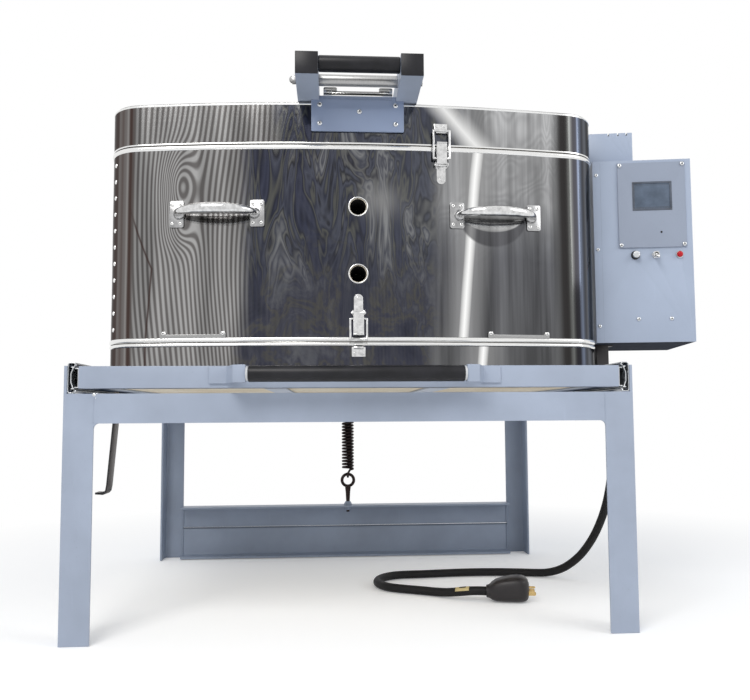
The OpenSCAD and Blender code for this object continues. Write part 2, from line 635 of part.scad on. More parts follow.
module latch_lever() difference() {
    union() {
        translate([-9.3, -12.5, lever_v]) cube([18.6, 1.5, pivot_v - lever_v]);
        for (s = [-1, 1]) {
            translate([s * 8.55 - 0.75, -11.5, bail_v - 6]) cube([1.5, 8, pivot_v - bail_v + 6]);
            translate([s * 8.55, -pivot_out, pivot_v]) rod_x(7, 1.5);
        }
        translate([0, -pivot_out, pivot_v]) rod_x(latch_pin, 26);
        translate([0, -13.5, lever_v + 1.5]) rod_x(3, 18.6);
    }
    translate([0, -bail_out, bail_v]) rod_x(bail_d + 2 * rod_gap, 30);
}
module latch_bail(tip) {
    for (s = [-1, 1]) {
        translate([s * (7.9 + bail_x) / 2, -bail_out, bail_v]) rod_x(bail_d, bail_x - 7.9);
        translate([s * bail_x, -bail_out, bail_v]) sphere(d = bail_d);
        translate([s * bail_x, -bail_out, tip]) cylinder(d = bail_d, h = bail_v - tip);
        translate([s * bail_x, -bail_out, tip]) sphere(d = bail_d);
    }
    translate([0, -bail_out, tip]) rod_x(bail_d, 2 * bail_x);
}
keeper_out = bail_out - bail_d / 2 - 0.6;
module latch_keeper() {
    translate([-12, -2, -15]) cube([24, 1.7, 17]);
    translate([0, -keeper_out / 2 - 0.5, 1]) rod_x(keeper_out - 1, 17);
    for (x = [-7, 7]) translate([x, -2, -10]) screw_head(4.5, 1.2);
}
module lower_latch_base() color(zinc) place() lower_latch() latch_base();
module lower_latch_lever() color(zinc) place() lower_latch() latch_lever();
module lower_latch_bail() color(zinc) place() lower_latch() latch_bail(lower_bail_v);
module lower_latch_keeper() color(zinc) place() lower_latch() latch_keeper();
module upper_latch_base() color(zinc) place() upper_latch() latch_base();
module upper_latch_lever() color(zinc) place() upper_latch() latch_lever();
module upper_latch_bail() color(zinc) place() upper_latch() latch_bail(0);
module upper_latch_keeper() color(zinc) place() upper_latch() latch_keeper();

// Control box on two posts beside the kiln; children use its own width, depth and height
module at_box() translate([box_x, box_y, box_z]) rotate([0, 0, -box_turn]) children();
panel_x = 48;
panel_top = box_h - 6;
panel_t = 3;
screen_x = panel_x + 31;
screen_z = panel_top - 42 - screen_h;
device_z = panel_top - panel_h - 15;
fuse_x = panel_x + 31;
switch_x = panel_x + 70;
lamp_x = panel_x + 116;
gland_x = 40;
gland_y = box_d - 32;
gland_d = 26;
lip_w = 12;
module device_holes() {
    translate([fuse_x, -1, device_z]) rod_y(12.2, 10);
    translate([switch_x, -1, device_z]) rod_y(12.2, 10);
    translate([lamp_x, -1, device_z]) rod_y(9.2, 10);
}
module control_box() color(paint) place() at_box() {
    difference() {
        cube([box_w, box_d, box_h]);
        translate([sheet_t, -1, sheet_t])
            cube([box_w - 2 * sheet_t, box_d + 1 - sheet_t, box_h - 2 * sheet_t]);
        translate([gland_x, gland_y, -1]) cylinder(d = gland_d - 6, h = 5);
        for (i = [0 : 5]) translate([-1, 60 + i * 20, 40]) cube([4, 8, 60]);
    }
    difference() {
        union() {
            translate([sheet_t, 0, sheet_t]) cube([box_w - 2 * sheet_t, sheet_t, box_h - 2 * sheet_t]);
            for (x = [sheet_t, box_w - sheet_t - lip_w]) translate([x, sheet_t, sheet_t])
                cube([lip_w, sheet_t, box_h - 2 * sheet_t]);
        }
        device_holes();
        translate([screen_x - 10, -1, screen_z - 10]) cube([screen_w + 20, 5, screen_h + 20]);
    }
}
cover_w = 89;
cover_h = 72;
cover_y = 40;
cover_d = 110;
module control_box_top_cover() color(paint) place() at_box() translate([0, cover_y, box_h]) difference() {
    cube([cover_w, cover_d, cover_h]);
    translate([sheet_t, sheet_t, -1])
        cube([cover_w - 2 * sheet_t, cover_d - 2 * sheet_t, cover_h + 1 - sheet_t]);
    for (x = [40, 59, 76]) translate([x, -1, cover_h - 6]) cube([3, 14, 7]);
}
post_w = 25;
post_t = 3;
post_y = [box_y + 40, box_y + box_d - 50];
module control_box_post() color(paint) place() for (y = post_y) translate([stand_w / 2, y, 0]) {
    translate([0, 0, slide_z - angle_t]) angle_up(post_w, post_t, box_z - slide_z + angle_t - post_t);
    translate([0, 0, box_z - post_t]) cube([post_w + 10, post_w + 10, post_t]);
    for (z = [14, 36]) translate([post_t, post_w / 2, slide_z - angle_t + z]) rotate([0, 90, 0]) hex(11, 5);
}
module controller_panel() place() at_box() {
    color([0.5, 0.54, 0.62]) difference() {
        translate([panel_x, -panel_t, panel_top - panel_h]) cube([panel_w, panel_t, panel_h]);
        translate([screen_x, -panel_t - 1, screen_z]) cube([screen_w, 2.5, screen_h]);
        translate([panel_x + 82, -panel_t - 1, panel_top - 141]) rod_y(4, 3);
    }
    color([0.25, 0.3, 0.38]) translate([screen_x, 0.5 - panel_t, screen_z]) cube([screen_w, 1, screen_h]);
    color(zinc) for (x = [4, panel_w - 5], z = [5, panel_h - 5])
        translate([panel_x + x, -panel_t, panel_top - z]) screw_head(6.5, 2);
}
module box_electrics() place() at_box() translate([0, box_d - sheet_t, 0]) {
    color(dark) for (i = [0 : 2]) translate([20 + i * 58, -42, box_h / 6]) cube([44, 42, 60]);
    color(steel) translate([36, -60, box_h * 0.42]) cube([60, 60, 70]);
    color(rubber) translate([20, -24, box_h * 0.72]) cube([box_w - 46, 24, 26]);
}
nut_d = 15;
toggle_out = 6;
toggle_pin = 2;
module toggle_switch() color(zinc) place() at_box() translate([switch_x, 0, device_z]) {
    difference() {
        union() {
            rotate([90, 0, 0]) hex(nut_d, 3);
            translate([0, -9, 0]) rod_y(12, 9);
        }
        translate([0, -10, 0]) rod_y(8, 14);
        translate([0, -toggle_out, 0]) rod_x(toggle_pin + 2 * rod_gap, 14);
    }
    color(rubber) translate([-9, sheet_t, -14]) cube([18, 24, 28]);
}
module toggle_lever() color(zinc) place() at_box() translate([switch_x, -toggle_out, device_z])
    rotate([0, 180, 0]) rotate([65, 0, 0]) {
    sphere(d = 6.5);
    rod_x(toggle_pin, 11);
    cylinder(d1 = 3.6, d2 = 6, h = 18);
    translate([0, 0, 18]) sphere(d = 6);
}
module fuse_holder() color(rubber) place() at_box() translate([fuse_x, 0, device_z]) {
    difference() {
        union() {
            translate([0, -4, 0]) rod_y(17, 4);
            translate([0, -4, 0]) rod_y(12, 34);
        }
        translate([0, -5, 0]) rod_y(10, 26);
    }
    color([0.8, 0.1, 0.05]) translate([lamp_x - fuse_x, 0, 0]) {
        translate([0, -3, 0]) rod_y(12, 3);
        translate([0, -3, 0]) rod_y(9, 25);
        translate([0, -3, 0]) sphere(d = 9);
    }
}
module fuse_cap() color(rubber) place() at_box() translate([fuse_x, 0, device_z]) difference() {
    union() {
        translate([0, -12, 0]) rod_y(13, 7.7);
        translate([0, -5, 0]) rod_y(9, 20);
    }
    translate([-8, -12.5, -1]) cube([16, 2, 2]);
}
module box_screws() at_box() {
    for (z = [24, box_h / 2, box_h - 22]) translate([7, 0, z]) screw_head(7, 2);
    for (x = [fuse_x + 3, lamp_x - 19]) translate([x, 0, 46]) screw_head(7, 2);
}
module stand_fasteners() color(zinc) place() {
    slide_screws();
    box_screws();
}

// Mains cord: it leaves the box's underside, hangs outside the stand and lies on the floor under it
cord_d = 18;
cord_sides = 8;
cord_points = [
    [548, 301, 480], [548, 301, 450], [554, 306, 412], [565, 313, 372], [576, 323, 330], [582, 338, 285],
    [582, 357, 235], [578, 374, 185], [569, 390, 140], [553, 407, 95], [529, 424, 55], [498, 441, 26],
    [466, 457, 12], [432, 469, 9], [392, 478, 9], [350, 485, 9], [305, 488, 9], [260, 487, 9], [215, 483, 9],
    [172, 478, 9], [134, 476, 9], [106, 470, 9], [82, 454, 9], [66, 430, 9], [60, 402, 9], [66, 374, 9],
    [82, 350, 9], [106, 334, 9], [138, 318, 9], [170, 301, 9], [198, 282, 11], [224, 264, 16],
    [249, 252, 20],
    [275, 248, 20]];
plug_at = cord_points[len(cord_points) - 1];
plug_way = plug_at - cord_points[len(cord_points) - 2];
plug_turn = atan2(plug_way[1], plug_way[0]);
module at_plug() translate([plug_at[0], plug_at[1], 0]) rotate([0, 0, plug_turn]) children();
module power_cord() color(rubber) place() tube(cord_points, cord_d, cord_sides, [0, 1, 0]);
module power_plug() place() {
    color(rubber) at_plug() hull() {
        translate([0, 0, plug_at[2]]) rotate([0, 90, 0]) cylinder(d = 26, h = 2);
        translate([26, 0, 22]) rotate([0, 90, 0]) cylinder(d = 43, h = 2);
        translate([60, 2, 0]) cylinder(d = 52, h = 46);
    }
    color(zinc) at_plug() translate([78, 0, 12]) {
        for (y = [-11, 15]) translate([0, y, 4]) cube([28, 1.8, 10]);
        translate([4, 2, 22]) rotate([0, 90, 0]) cylinder(d = 5, h = 23);
    }
}
// The gland's nut sits inside the box and its taper grips the cord below
module cord_strain_relief() color(rubber) place() translate([cord_points[0][0], cord_points[0][1], 0]) {
    translate([0, 0, cord_points[0][2]])
        cylinder(d1 = cord_d + 2, d2 = gland_d, h = box_z - cord_points[0][2]);
    translate([0, 0, box_z]) cylinder(d = gland_d - 6.5, h = sheet_t);
    translate([0, 0, box_z + sheet_t]) hex(gland_d, 6);
}

front_legs();
rear_legs();
front_rail();
side_rails();
rear_crossbars();
slide_outer_members();
slide_middle_members();
slide_balls();
slide_inner_members();
stand_fasteners();
stand_hinge_brackets();
chamber_hinge_rod();
spring_eye_bolt();
counterbalance_spring();
lock_bracket();
lock_bolt();
tray_lock_lever();
tray_frame();
tray_handle_brackets();
tray_handle_grip();
base_jacket();
base_bricks();
lower_latch_keeper();
chamber_jacket();
chamber_bricks();
heating_elements();
peephole_rings();
side_handle_bars();
side_handle_plates();
chamber_fasteners();
rim_clips();
thermocouple();
chamber_hinge_arms();
lid_hinge_rod();
lower_latch_base();
lower_latch_lever();
lower_latch_bail();
upper_latch_base();
upper_latch_lever();
upper_latch_bail();
lid_jacket();
lid_bricks();
lift_arms();
arm_caps();
lift_grip();
lift_spacer_bolt();
lid_front_plate();
upper_latch_keeper();
control_box();
control_box_top_cover();
control_box_post();
controller_panel();
box_electrics();
toggle_switch();
toggle_lever();
fuse_holder();
fuse_cap();
cord_strain_relief();
power_cord();
power_plug();
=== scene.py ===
import json
import math
import bmesh
import bpy
from mathutils import Matrix, Vector


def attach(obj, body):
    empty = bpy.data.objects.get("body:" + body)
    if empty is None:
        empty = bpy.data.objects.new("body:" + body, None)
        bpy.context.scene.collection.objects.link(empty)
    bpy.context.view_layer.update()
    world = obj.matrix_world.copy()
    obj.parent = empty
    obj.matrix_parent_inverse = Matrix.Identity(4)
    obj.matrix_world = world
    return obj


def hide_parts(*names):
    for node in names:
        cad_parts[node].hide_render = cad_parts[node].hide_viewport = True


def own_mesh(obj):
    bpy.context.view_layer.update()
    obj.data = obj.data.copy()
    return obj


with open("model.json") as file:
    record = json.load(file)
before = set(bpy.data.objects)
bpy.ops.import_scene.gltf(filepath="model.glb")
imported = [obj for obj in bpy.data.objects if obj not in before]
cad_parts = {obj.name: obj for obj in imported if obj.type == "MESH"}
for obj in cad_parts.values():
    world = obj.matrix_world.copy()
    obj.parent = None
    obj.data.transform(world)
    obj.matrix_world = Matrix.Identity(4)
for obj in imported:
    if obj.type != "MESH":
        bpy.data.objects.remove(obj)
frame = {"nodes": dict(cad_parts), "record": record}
NODES = frame["nodes"]
BODY = {n: b for b, members in frame["record"]["behaviour"]["bodies"].items() for n in members}
SLOT = {s["node"]: s["material_slot"] for s in frame["record"]["subparts"]}
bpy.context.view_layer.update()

# The stand's own millimetres: X from its middle, Y from its front, Z from the floor
MID_X, MID_Y = 102.9738, 349.0
RIGHT, BACK, UP, FRONT = (1, 0, 0), (0, 1, 0), (0, 0, 1), (0, -1, 0)


def P(x, y, z):
    return Vector(((x - MID_X) / 1000, (y - MID_Y) / 1000, z / 1000))


KILN_X, KILN_Y, BODY_W, BODY_D = 7.0, 8.0, 906.0, 640.0
BOW_R, CORNER_R = 2600.0, 70.0
BASE_Z, CHAMBER_Z, CHAMBER_H = 433.3, 510.3, 354.0
LID_Z, LID_TOP, SLAB_H, RIM_H = 865.3, 941.3, 76.0, 7.0
RAIL_TOP, STAND_W, STAND_D, ANGLE = 420.3, 990.0, 800.0, 50.8
HANDLE_Z = 738.63
PEEPHOLES = [691.3 + s * 60.5 for s in (-1, 1)]
PHOTO_W, PHOTO_H = 750, 700
BLACK, WHITE = (0, 0, 0), (1, 1, 1)


def in_scene(name, data):
    ob = bpy.data.objects.new(name, data)
    bpy.context.scene.collection.objects.link(ob)
    return ob


# ---------- shader helpers ----------
def node(nt, kind, sockets=(), **settings):
    """A shader node: each socket takes a value, or the output that feeds it."""
    n = nt.nodes.new("ShaderNode" + kind)
    for k, v in settings.items():
        setattr(n, k, v)
    for k, v in dict(sockets).items():
        if isinstance(v, bpy.types.NodeSocket):
            nt.links.new(v, n.inputs[k])
        elif v is not None:
            n.inputs[k].default_value = v
    return n


def new_mat(name, rough, metal=0.0, specular=0.5):
    m = bpy.data.materials.new(name)
    m.use_nodes = True
    b = m.node_tree.nodes["Principled BSDF"]
    b.inputs["Roughness"].default_value = rough
    b.inputs["Metallic"].default_value = metal
    b.inputs["Specular IOR Level"].default_value = specular
    return m, m.node_tree, b


def coords(nt, stretch=(1, 1, 1)):
    """Object coordinates, stretched."""
    at = node(nt, "TexCoord").outputs["Object"]
    return node(nt, "Mapping", {"Scale": stretch, "Vector": at}).outputs["Vector"]


def noise(nt, vec, scale, detail=3.0, rough=0.55, warp=0.0):
    return node(nt, "TexNoise", {"Scale": scale, "Detail": detail, "Roughness": rough, "Distortion": warp,
                                 "Vector": vec}).outputs["Fac"]


def ramp(nt, fac, stops):
    r = node(nt, "ValToRGB", {"Fac": fac})
    els = r.color_ramp.elements
    while len(els) < len(stops):
        els.new(0.5)
    for e, (p, c) in zip(els, stops):
        e.position = p
        e.color = (*c, 1)
    return r.outputs["Color"]


def mathn(nt, op, a, b=None, clamp=False):
    return node(nt, "Math", {0: a, 1: b}, operation=op, use_clamp=clamp).outputs[0]


def mix(nt, fac, a, b, kind="MIX"):
    a, b = ((*v, 1) if isinstance(v, tuple) else v for v in (a, b))
    return node(nt, "Mix", {0: fac, 6: a, 7: b}, data_type="RGBA", blend_type=kind).outputs[2]


def remap(nt, value, low, high, kind="From"):
    """From low to high becomes nought to one, or the other way about with kind To."""
    return node(nt, "MapRange", {kind + " Min": low, kind + " Max": high, "Value": value}).outputs["Result"]


def bump(nt, b, height, strength, distance=0.001):
    n = node(nt, "Bump", {"Strength": strength, "Distance": distance, "Height": height})
    nt.links.new(n.outputs["Normal"], b.inputs["Normal"])


def spread(nt, b, fac, low, high):
    """Roughness that varies between two values."""
    nt.links.new(remap(nt, fac, low, high, "To"), b.inputs["Roughness"])


def shade(colour, k):
    return tuple(min(1, c * k) for c in colour)


# ---------- camera, light and ground ----------
def look():
    """The photo's camera, fitted to it: focal length and optical centre are in its pixels."""
    yaw, pitch, roll = 0.0639287, 0.071406, -0.00608378
    focal, centre_x, centre_y = 760.499, 381.773, 360.183
    fwd = Vector((math.sin(yaw) * math.cos(pitch), math.cos(yaw) * math.cos(pitch), math.sin(pitch)))
    right = Vector((math.cos(yaw), -math.sin(yaw), 0))
    up = right.cross(fwd)
    x = right * math.cos(roll) + up * math.sin(roll)
    y = -right * math.sin(roll) + up * math.cos(roll)
    cam = in_scene("camera", bpy.data.cameras.new("camera"))
    m = Matrix((x, y, -fwd)).transposed().to_4x4()
    m.translation = P(-37.546, -1324.03, 381.813)
    cam.matrix_world = m
    cam.data.sensor_width = 36
    cam.data.lens = focal / PHOTO_W * 36
    cam.data.shift_x = (PHOTO_W / 2 - centre_x) / PHOTO_W
    cam.data.shift_y = (centre_y - PHOTO_H / 2) / PHOTO_W
    cam.data.clip_end = 60
    bpy.context.scene.camera = cam


def area(name, at, aim, size, power, colour=(1, 1, 1)):
    lamp = bpy.data.lights.new(name, "AREA")
    lamp.shape = "RECTANGLE"
    lamp.size, lamp.size_y = size
    lamp.energy = power
    lamp.color = colour
    ob = in_scene(name, lamp)
    ob.location = at
    ob.rotation_euler = (Vector(aim) - Vector(at)).to_track_quat("-Z", "Y").to_euler()


def shown_to_camera(nt):
    """One for camera, glossy and transmission rays, nought for the rest."""
    path = node(nt, "LightPath").outputs
    seen = path["Is Camera Ray"]
    for name in ("Is Glossy Ray", "Is Transmission Ray"):
        seen = mathn(nt, "MAXIMUM", seen, path[name])
    return seen


def swap_shader(nt, out, fac, a, b):
    """Shader a gives way to shader b with fac."""
    mixer = node(nt, "MixShader", {0: fac, 1: a.outputs[0], 2: b.outputs[0]})
    nt.links.new(mixer.outputs[0], nt.nodes[out].inputs["Surface"])


def set_stage():
    scene = bpy.context.scene
    scene.view_settings.view_transform = "Standard"
    world = bpy.data.worlds.new("world")
    scene.world = world
    world.use_nodes = True
    nt = world.node_tree
    # plain white for the camera and in gloss and glass, a soft sky for everything else
    sky = nt.nodes["Background"]
    sky.inputs[0].default_value = (0.93, 0.96, 1.0, 1)
    sky.inputs[1].default_value = 0.62
    swap_shader(nt, "World Output", shown_to_camera(nt), sky, node(nt, "Background", {0: (1, 1, 1, 1), 1: 1.0}))
    me = bpy.data.meshes.new("floor")
    s, z = 6.0, -0.0006
    me.from_pydata([(-s, -s, z), (s, -s, z), (s, s, z), (-s, s, z)], [], [(0, 1, 2, 3)])
    floor = in_scene("floor", me)
    m, nt, b = new_mat("floor", 0.95, specular=0.1)
    b.inputs["Base Color"].default_value = (0.98, 0.98, 0.98, 1)
    # white far from the object, plain floor that keeps the shadow near it
    seen = shown_to_camera(nt)
    far = node(nt, "VectorMath", {0: node(nt, "TexCoord").outputs["Object"]}, operation="LENGTH").outputs["Value"]
    b.inputs["Emission Color"].default_value = (1, 1, 1, 1)
    nt.links.new(mathn(nt, "MULTIPLY", seen, 0.16), b.inputs["Emission Strength"])
    fade = mathn(nt, "MULTIPLY", remap(nt, far, 0.75, 1.7), seen)
    swap_shader(nt, "Material Output", fade, b, node(nt, "Emission"))
    me.materials.append(m)
    area("key", (-1.2, -2.6, 2.9), (-0.1, 0, 0.55), (1.6, 1.6), 58, (1, 0.98, 0.95))
    area("fill", (2.2, -1.6, 1.7), (0.1, 0, 0.5), (1.4, 1.4), 16)


# ---------- materials ----------
def paint(name, base, dust=0.12):
    """Satin sprayed paint: soft cloudy tone, faint orange peel, a few scuffs and dark specks."""
    m, nt, b = new_mat(name, 0.4)
    v = coords(nt)
    cloud = noise(nt, v, 6, 4, 0.6)
    tone = ramp(nt, cloud, [(0.3, shade(base, 1 - dust)), (0.7, shade(base, 1 + dust * 0.6))])
    dots = ramp(nt, noise(nt, v, 420, 2, 0.5), [(0.70, BLACK), (0.78, WHITE)])
    tone = mix(nt, mathn(nt, "MULTIPLY", dots, 0.35), tone, shade(base, 0.45))
    scuff = ramp(nt, noise(nt, coords(nt, (140, 140, 6)), 1.0, 3, 0.6), [(0.66, BLACK), (0.74, WHITE)])
    tone = mix(nt, mathn(nt, "MULTIPLY", scuff, 0.14), tone, shade(base, 1.5))
    nt.links.new(tone, b.inputs["Base Color"])
    spread(nt, b, cloud, 0.34, 0.5)
    bump(nt, b, noise(nt, v, 900, 2, 0.5), 0.05, 0.0004)
    return m


def metal(name, base, rough, grain_and_reflection=(1, 1, 1), spots=0.2, peel=0.03):
    m, nt, b = new_mat(name, rough, 1.0)
    v = coords(nt, grain_and_reflection)
    n = noise(nt, v, 60, 4, 0.6)
    nt.links.new(ramp(nt, n, [(0.3, shade(base, 1 - spots)), (0.65, base)]), b.inputs["Base Color"])
    spread(nt, b, noise(nt, v, 25, 3), rough * 0.8, rough * 1.35)
    bump(nt, b, noise(nt, v, 240, 2), peel, 0.0004)
    return m


def plastic(name, base, rough, peel=0.1, scale=700, mottle=0.3, specular=0.5):
    m, nt, b = new_mat(name, rough, 0.0, specular)
    v = coords(nt)
    n = noise(nt, v, 30, 4, 0.6)
    tone = ramp(nt, n, [(0.35, shade(base, 1 - mottle)), (0.7, shade(base, 1 + mottle))])
    nt.links.new(tone, b.inputs["Base Color"])
    spread(nt, b, n, rough * 0.85, rough * 1.2)
    bump(nt, b, noise(nt, v, scale, 3), peel, 0.0003)
    return m


def brickwork(name):
    m, nt, b = new_mat(name, 0.95)
    v = coords(nt)
    pores = noise(nt, v, 260, 4, 0.7)
    tone = ramp(nt, noise(nt, v, 9, 3), [(0.3, (0.72, 0.62, 0.46)), (0.7, (0.86, 0.79, 0.66))])
    # pores darkened towards brown: painted shade in them
    holes = ramp(nt, pores, [(0.36, WHITE), (0.46, BLACK)])
    nt.links.new(mix(nt, mathn(nt, "MULTIPLY", holes, 0.55), tone, (0.42, 0.33, 0.22)), b.inputs["Base Color"])
    bump(nt, b, pores, 0.5)
    return m


def jacket_steel(name):
    """Polished sheet. The front has painted reflections of wood-like grain, dark trees and a streak of sun; the rest
    soft upright bands.
    """
    m, nt, b = new_mat(name, 0.12, 1.0)
    grey = lambda v: (v, v, v)
    add = lambda p, q: mathn(nt, "ADD", p, q)
    sub = lambda p, q: mathn(nt, "SUBTRACT", p, q)
    mul = lambda p, q: mathn(nt, "MULTIPLY", p, q)
    op = lambda kind, *v: mathn(nt, kind, *v)
    fall = lambda v: mathn(nt, "SUBTRACT", 1.0, v, True)
    swing = lambda n: sub(n, 0.5)
    tex = lambda stretch, *rest: noise(nt, coords(nt, stretch), *rest)
    tones = lambda fac, stops: ramp(nt, fac, stops)
    blend = lambda *rest: mix(nt, *rest)

    def wave(f, period):
        return add(mul(op("SINE", mul(f, 2 * math.pi / period)), 0.5), 0.5)

    def spot(x0, z0, rx, rz):
        dx = mul(sub(x, x0), 1 / rx)
        dz = mul(sub(z, z0), 1 / rz)
        return op("POWER", 2.718, mul(add(mul(dx, dx), mul(dz, dz)), -1.0))

    split = node(nt, "SeparateXYZ", {0: coords(nt)})
    z = split.outputs[2]
    x = add(split.outputs[0], (MID_X - KILN_X) / 1000)
    half = BODY_W / 2000
    slow = swing(tex((3.2, 3.2, 1.1), 1.0, 1, 0.4, 0.3))
    warp = swing(tex((5, 5, 2.2), 1.0, 2, 0.5, 0.6))
    fine = swing(tex((16, 16, 3), 1.0, 2, 0.5))
    lid = op("GREATER_THAN", z, LID_Z / 1000)
    foot = op("LESS_THAN", z, CHAMBER_Z / 1000)
    u = remap(nt, add(x, mul(warp, 0.008)), -half, half)
    # painted reflection: grain like a plank on the left, with knots above and below the handle
    f = add(x, mul(slow, 0.16))
    f = add(f, mul(fine, 0.007))
    f = add(f, mul(spot(-0.318, 0.790, 0.027, 0.062), 0.056))
    f = add(f, mul(spot(-0.316, 0.712, 0.026, 0.034), 0.030))
    grain_and_reflection = tones(wave(f, 0.0084), [(0.15, (0.120, 0.114, 0.112)), (0.85, (0.325, 0.322, 0.320))])
    broad = tones(tex((1, 1, 0.12), 24, 2, 0.5, 0.4), [(0.36, grey(0.72)), (0.64, grey(1.2))])
    grain_and_reflection = blend(1.0, grain_and_reflection, broad, "MULTIPLY")
    # the crack-like brown line down the left
    lean = add(mul(op("POWER", remap(nt, z, 0.785, 0.642), 1.25), 0.048), -0.414)
    lean = sub(lean, mul(remap(nt, z, 0.642, 0.52), 0.009))
    gap = op("ABSOLUTE", sub(x, add(lean, mul(fine, 0.006))))
    crack = mul(fall(mul(gap, 330)), sub(1.0, lid))
    grain_and_reflection = blend(mul(crack, 0.95), grain_and_reflection, (0.048, 0.028, 0.025))
    # painted reflection of trees against the sky in the middle, darker and calmer low down
    trunks = tex((1.0, 1.0, 0.24), 19, 2.6, 0.55, 1.25)
    upper = tones(trunks, [
        (0.28, (0.016, 0.018, 0.030)), (0.38, (0.045, 0.050, 0.078)), (0.42, (0.020, 0.022, 0.036)),
        (0.455, (0.095, 0.096, 0.084)), (0.475, (0.030, 0.033, 0.050)), (0.51, (0.070, 0.076, 0.100)),
        (0.535, (0.024, 0.025, 0.032)), (0.565, (0.125, 0.126, 0.122)), (0.585, (0.050, 0.054, 0.072)),
        (0.63, (0.200, 0.204, 0.208)), (0.66, (0.06, 0.063, 0.08)), (0.72, (0.24, 0.245, 0.25))])
    blots = tex((1.0, 1.0, 0.7), 16, 5, 0.6, 0.8)
    lower = tones(blots, [
        (0.32, (0.026, 0.028, 0.042)), (0.47, (0.044, 0.046, 0.064)), (0.52, (0.070, 0.068, 0.062)),
        (0.57, (0.046, 0.048, 0.066)), (0.70, (0.105, 0.108, 0.118))])
    height = remap(nt, add(z, mul(warp, 0.10)), 0.60, 0.72)
    tree_reflection = blend(add(mul(height, 0.78), 0.12), lower, upper)
    paler = remap(nt, x, -0.02, 0.16)
    tree_reflection = blend(mul(mul(paler, height), 0.16), tree_reflection, (0.22, 0.23, 0.25))
    tree_reflection = blend(mul(spot(0.040, 0.764, 0.034, 0.030), 0.75), tree_reflection, (0.25, 0.25, 0.25))
    # brushed grey on the right, with a painted reflection that is bright above the handle and darker below it
    sky_reflection = tones(remap(nt, add(z, mul(warp, 0.05)), 0.43, 0.95), [
        (0.0, (0.120, 0.121, 0.124)), (0.44, (0.116, 0.118, 0.128)), (0.54, (0.16, 0.163, 0.172)),
        (0.66, (0.29, 0.292, 0.297)), (0.82, (0.30, 0.302, 0.306)), (0.90, (0.40, 0.403, 0.408))])
    brushed = tones(tex((1, 1, 0.035), 44, 3, 0.6), [(0.36, grey(0.58)), (0.50, grey(0.98)), (0.64, grey(1.36))])
    sky_reflection = blend(1.0, sky_reflection, brushed, "MULTIPLY")
    rings = tex((1, 1, 0.55), 6.5, 1.5, 0.5, 1.6)
    sky_reflection = blend(mul(mul(wave(rings, 0.055), height), 0.22), sky_reflection, (0.13, 0.13, 0.135))
    # where one painted reflection gives way to the next
    shift = add(mul(lid, -0.055), mul(foot, 0.012))
    v = remap(nt, add(add(x, shift), mul(fine, 0.012)), -half, half)
    tone = blend(tones(v, [(0.262, grey(0.0)), (0.290, grey(0.97))]), grain_and_reflection, tree_reflection)
    tone = blend(tones(v, [(0.640, grey(0.0)), (0.662, grey(0.85)), (0.70, grey(1.0))]), tone, sky_reflection)
    # painted reflections in light and dark bands near the left and right edges, laid over the rest where the rim mask
    # is one
    edges = tones(u, [
        (0.0, (0.085, 0.066, 0.062)), (0.020, (0.080, 0.062, 0.058)), (0.025, (0.21, 0.20, 0.195)),
        (0.030, (0.06, 0.036, 0.031)), (0.034, (0.20, 0.19, 0.185)), (0.037, (0.05, 0.033, 0.030)),
        (0.042, (0.31, 0.305, 0.30)), (0.046, (0.07, 0.050, 0.045)), (0.052, (0.055, 0.036, 0.032)),
        (0.060, (0.17, 0.165, 0.16)), (0.5, (0.17, 0.17, 0.17)), (0.905, (0.11, 0.111, 0.113)),
        (0.917, (0.040, 0.038, 0.038)), (0.929, (0.032, 0.030, 0.030)), (0.937, (0.155, 0.16, 0.155)),
        (0.943, (0.030, 0.029, 0.032)), (0.953, (0.028, 0.028, 0.034)), (0.960, (0.17, 0.20, 0.27)),
        (0.967, (0.045, 0.045, 0.05)), (0.976, (0.15, 0.16, 0.18)), (0.986, (0.035, 0.036, 0.04)),
        (1.0, (0.10, 0.105, 0.115))])
    rim = tones(u, [(0.053, grey(1.0)), (0.061, grey(0.0)), (0.895, grey(0.0)), (0.915, grey(1.0))])
    tone = blend(rim, tone, edges)
    # the sun's streak leans, steps at the base and spreads on the lid
    line = add(mul(sub(z, 0.70), 0.0876), 0.2055)
    line = add(line, mul(foot, 0.037))
    line = add(line, mul(lid, sub(LID_Z / 1000, z)))
    off = op("ABSOLUTE", sub(add(x, mul(warp, 0.018)), line))
    sun = fall(mul(off, sub(105, mul(lid, 80))))
    halo = fall(mul(off, 24))
    tone = blend(mul(halo, 0.50), tone, (0.50, 0.50, 0.50))
    tone = blend(mul(op("POWER", sun, add(mul(lid, 0.9), 0.7)), sub(1.0, mul(lid, 0.25))), tone, (1.0, 1.0, 0.99))
    # the right handle mirrored below itself, and its shadow
    down = sub(0.742, z)
    below = op("GREATER_THAN", down, 0.0)

    def crescent(wide, deep):
        dx, dz = mul(sub(x, 0.2455), 1 / wide), mul(down, 1 / deep)
        return mul(remap(nt, add(mul(dx, dx), mul(dz, dz)), 1.0, 0.88), below)

    tone = blend(mul(crescent(0.066, 0.060), 0.78), tone, blend(1.0, brushed, (0.085, 0.085, 0.092), "MULTIPLY"))
    shine = tones(remap(nt, down, 0.0, 0.034), [(0.30, grey(0.20)), (0.50, grey(0.62)), (0.95, grey(0.24))])
    tone = blend(mul(crescent(0.059, 0.032), 0.9), tone, blend(0.6, shine, brushed, "MULTIPLY"))
    # sides and back
    bands = tex((1, 1, 0.05), 6.5, 2, 0.5, 0.2)
    plain = tones(bands, [(0.36, (0.085, 0.085, 0.09)), (0.5, (0.15, 0.15, 0.155)), (0.64, (0.26, 0.262, 0.27))])
    tone = blend(remap(nt, split.outputs[1], -0.272, -0.236), tone, plain)
    nt.links.new(tone, b.inputs["Base Color"])
    b.inputs["Specular Tint"].default_value = (0.5, 0.5, 0.5, 1)
    spread(nt, b, tex((2, 2, 300), 1.5, 2, 0.5), 0.07, 0.15)
    bump(nt, b, add(warp, mul(fine, 0.3)), 0.10, 0.006)
    return m


PAINT = (0.357, 0.409, 0.511)
MAT = {}
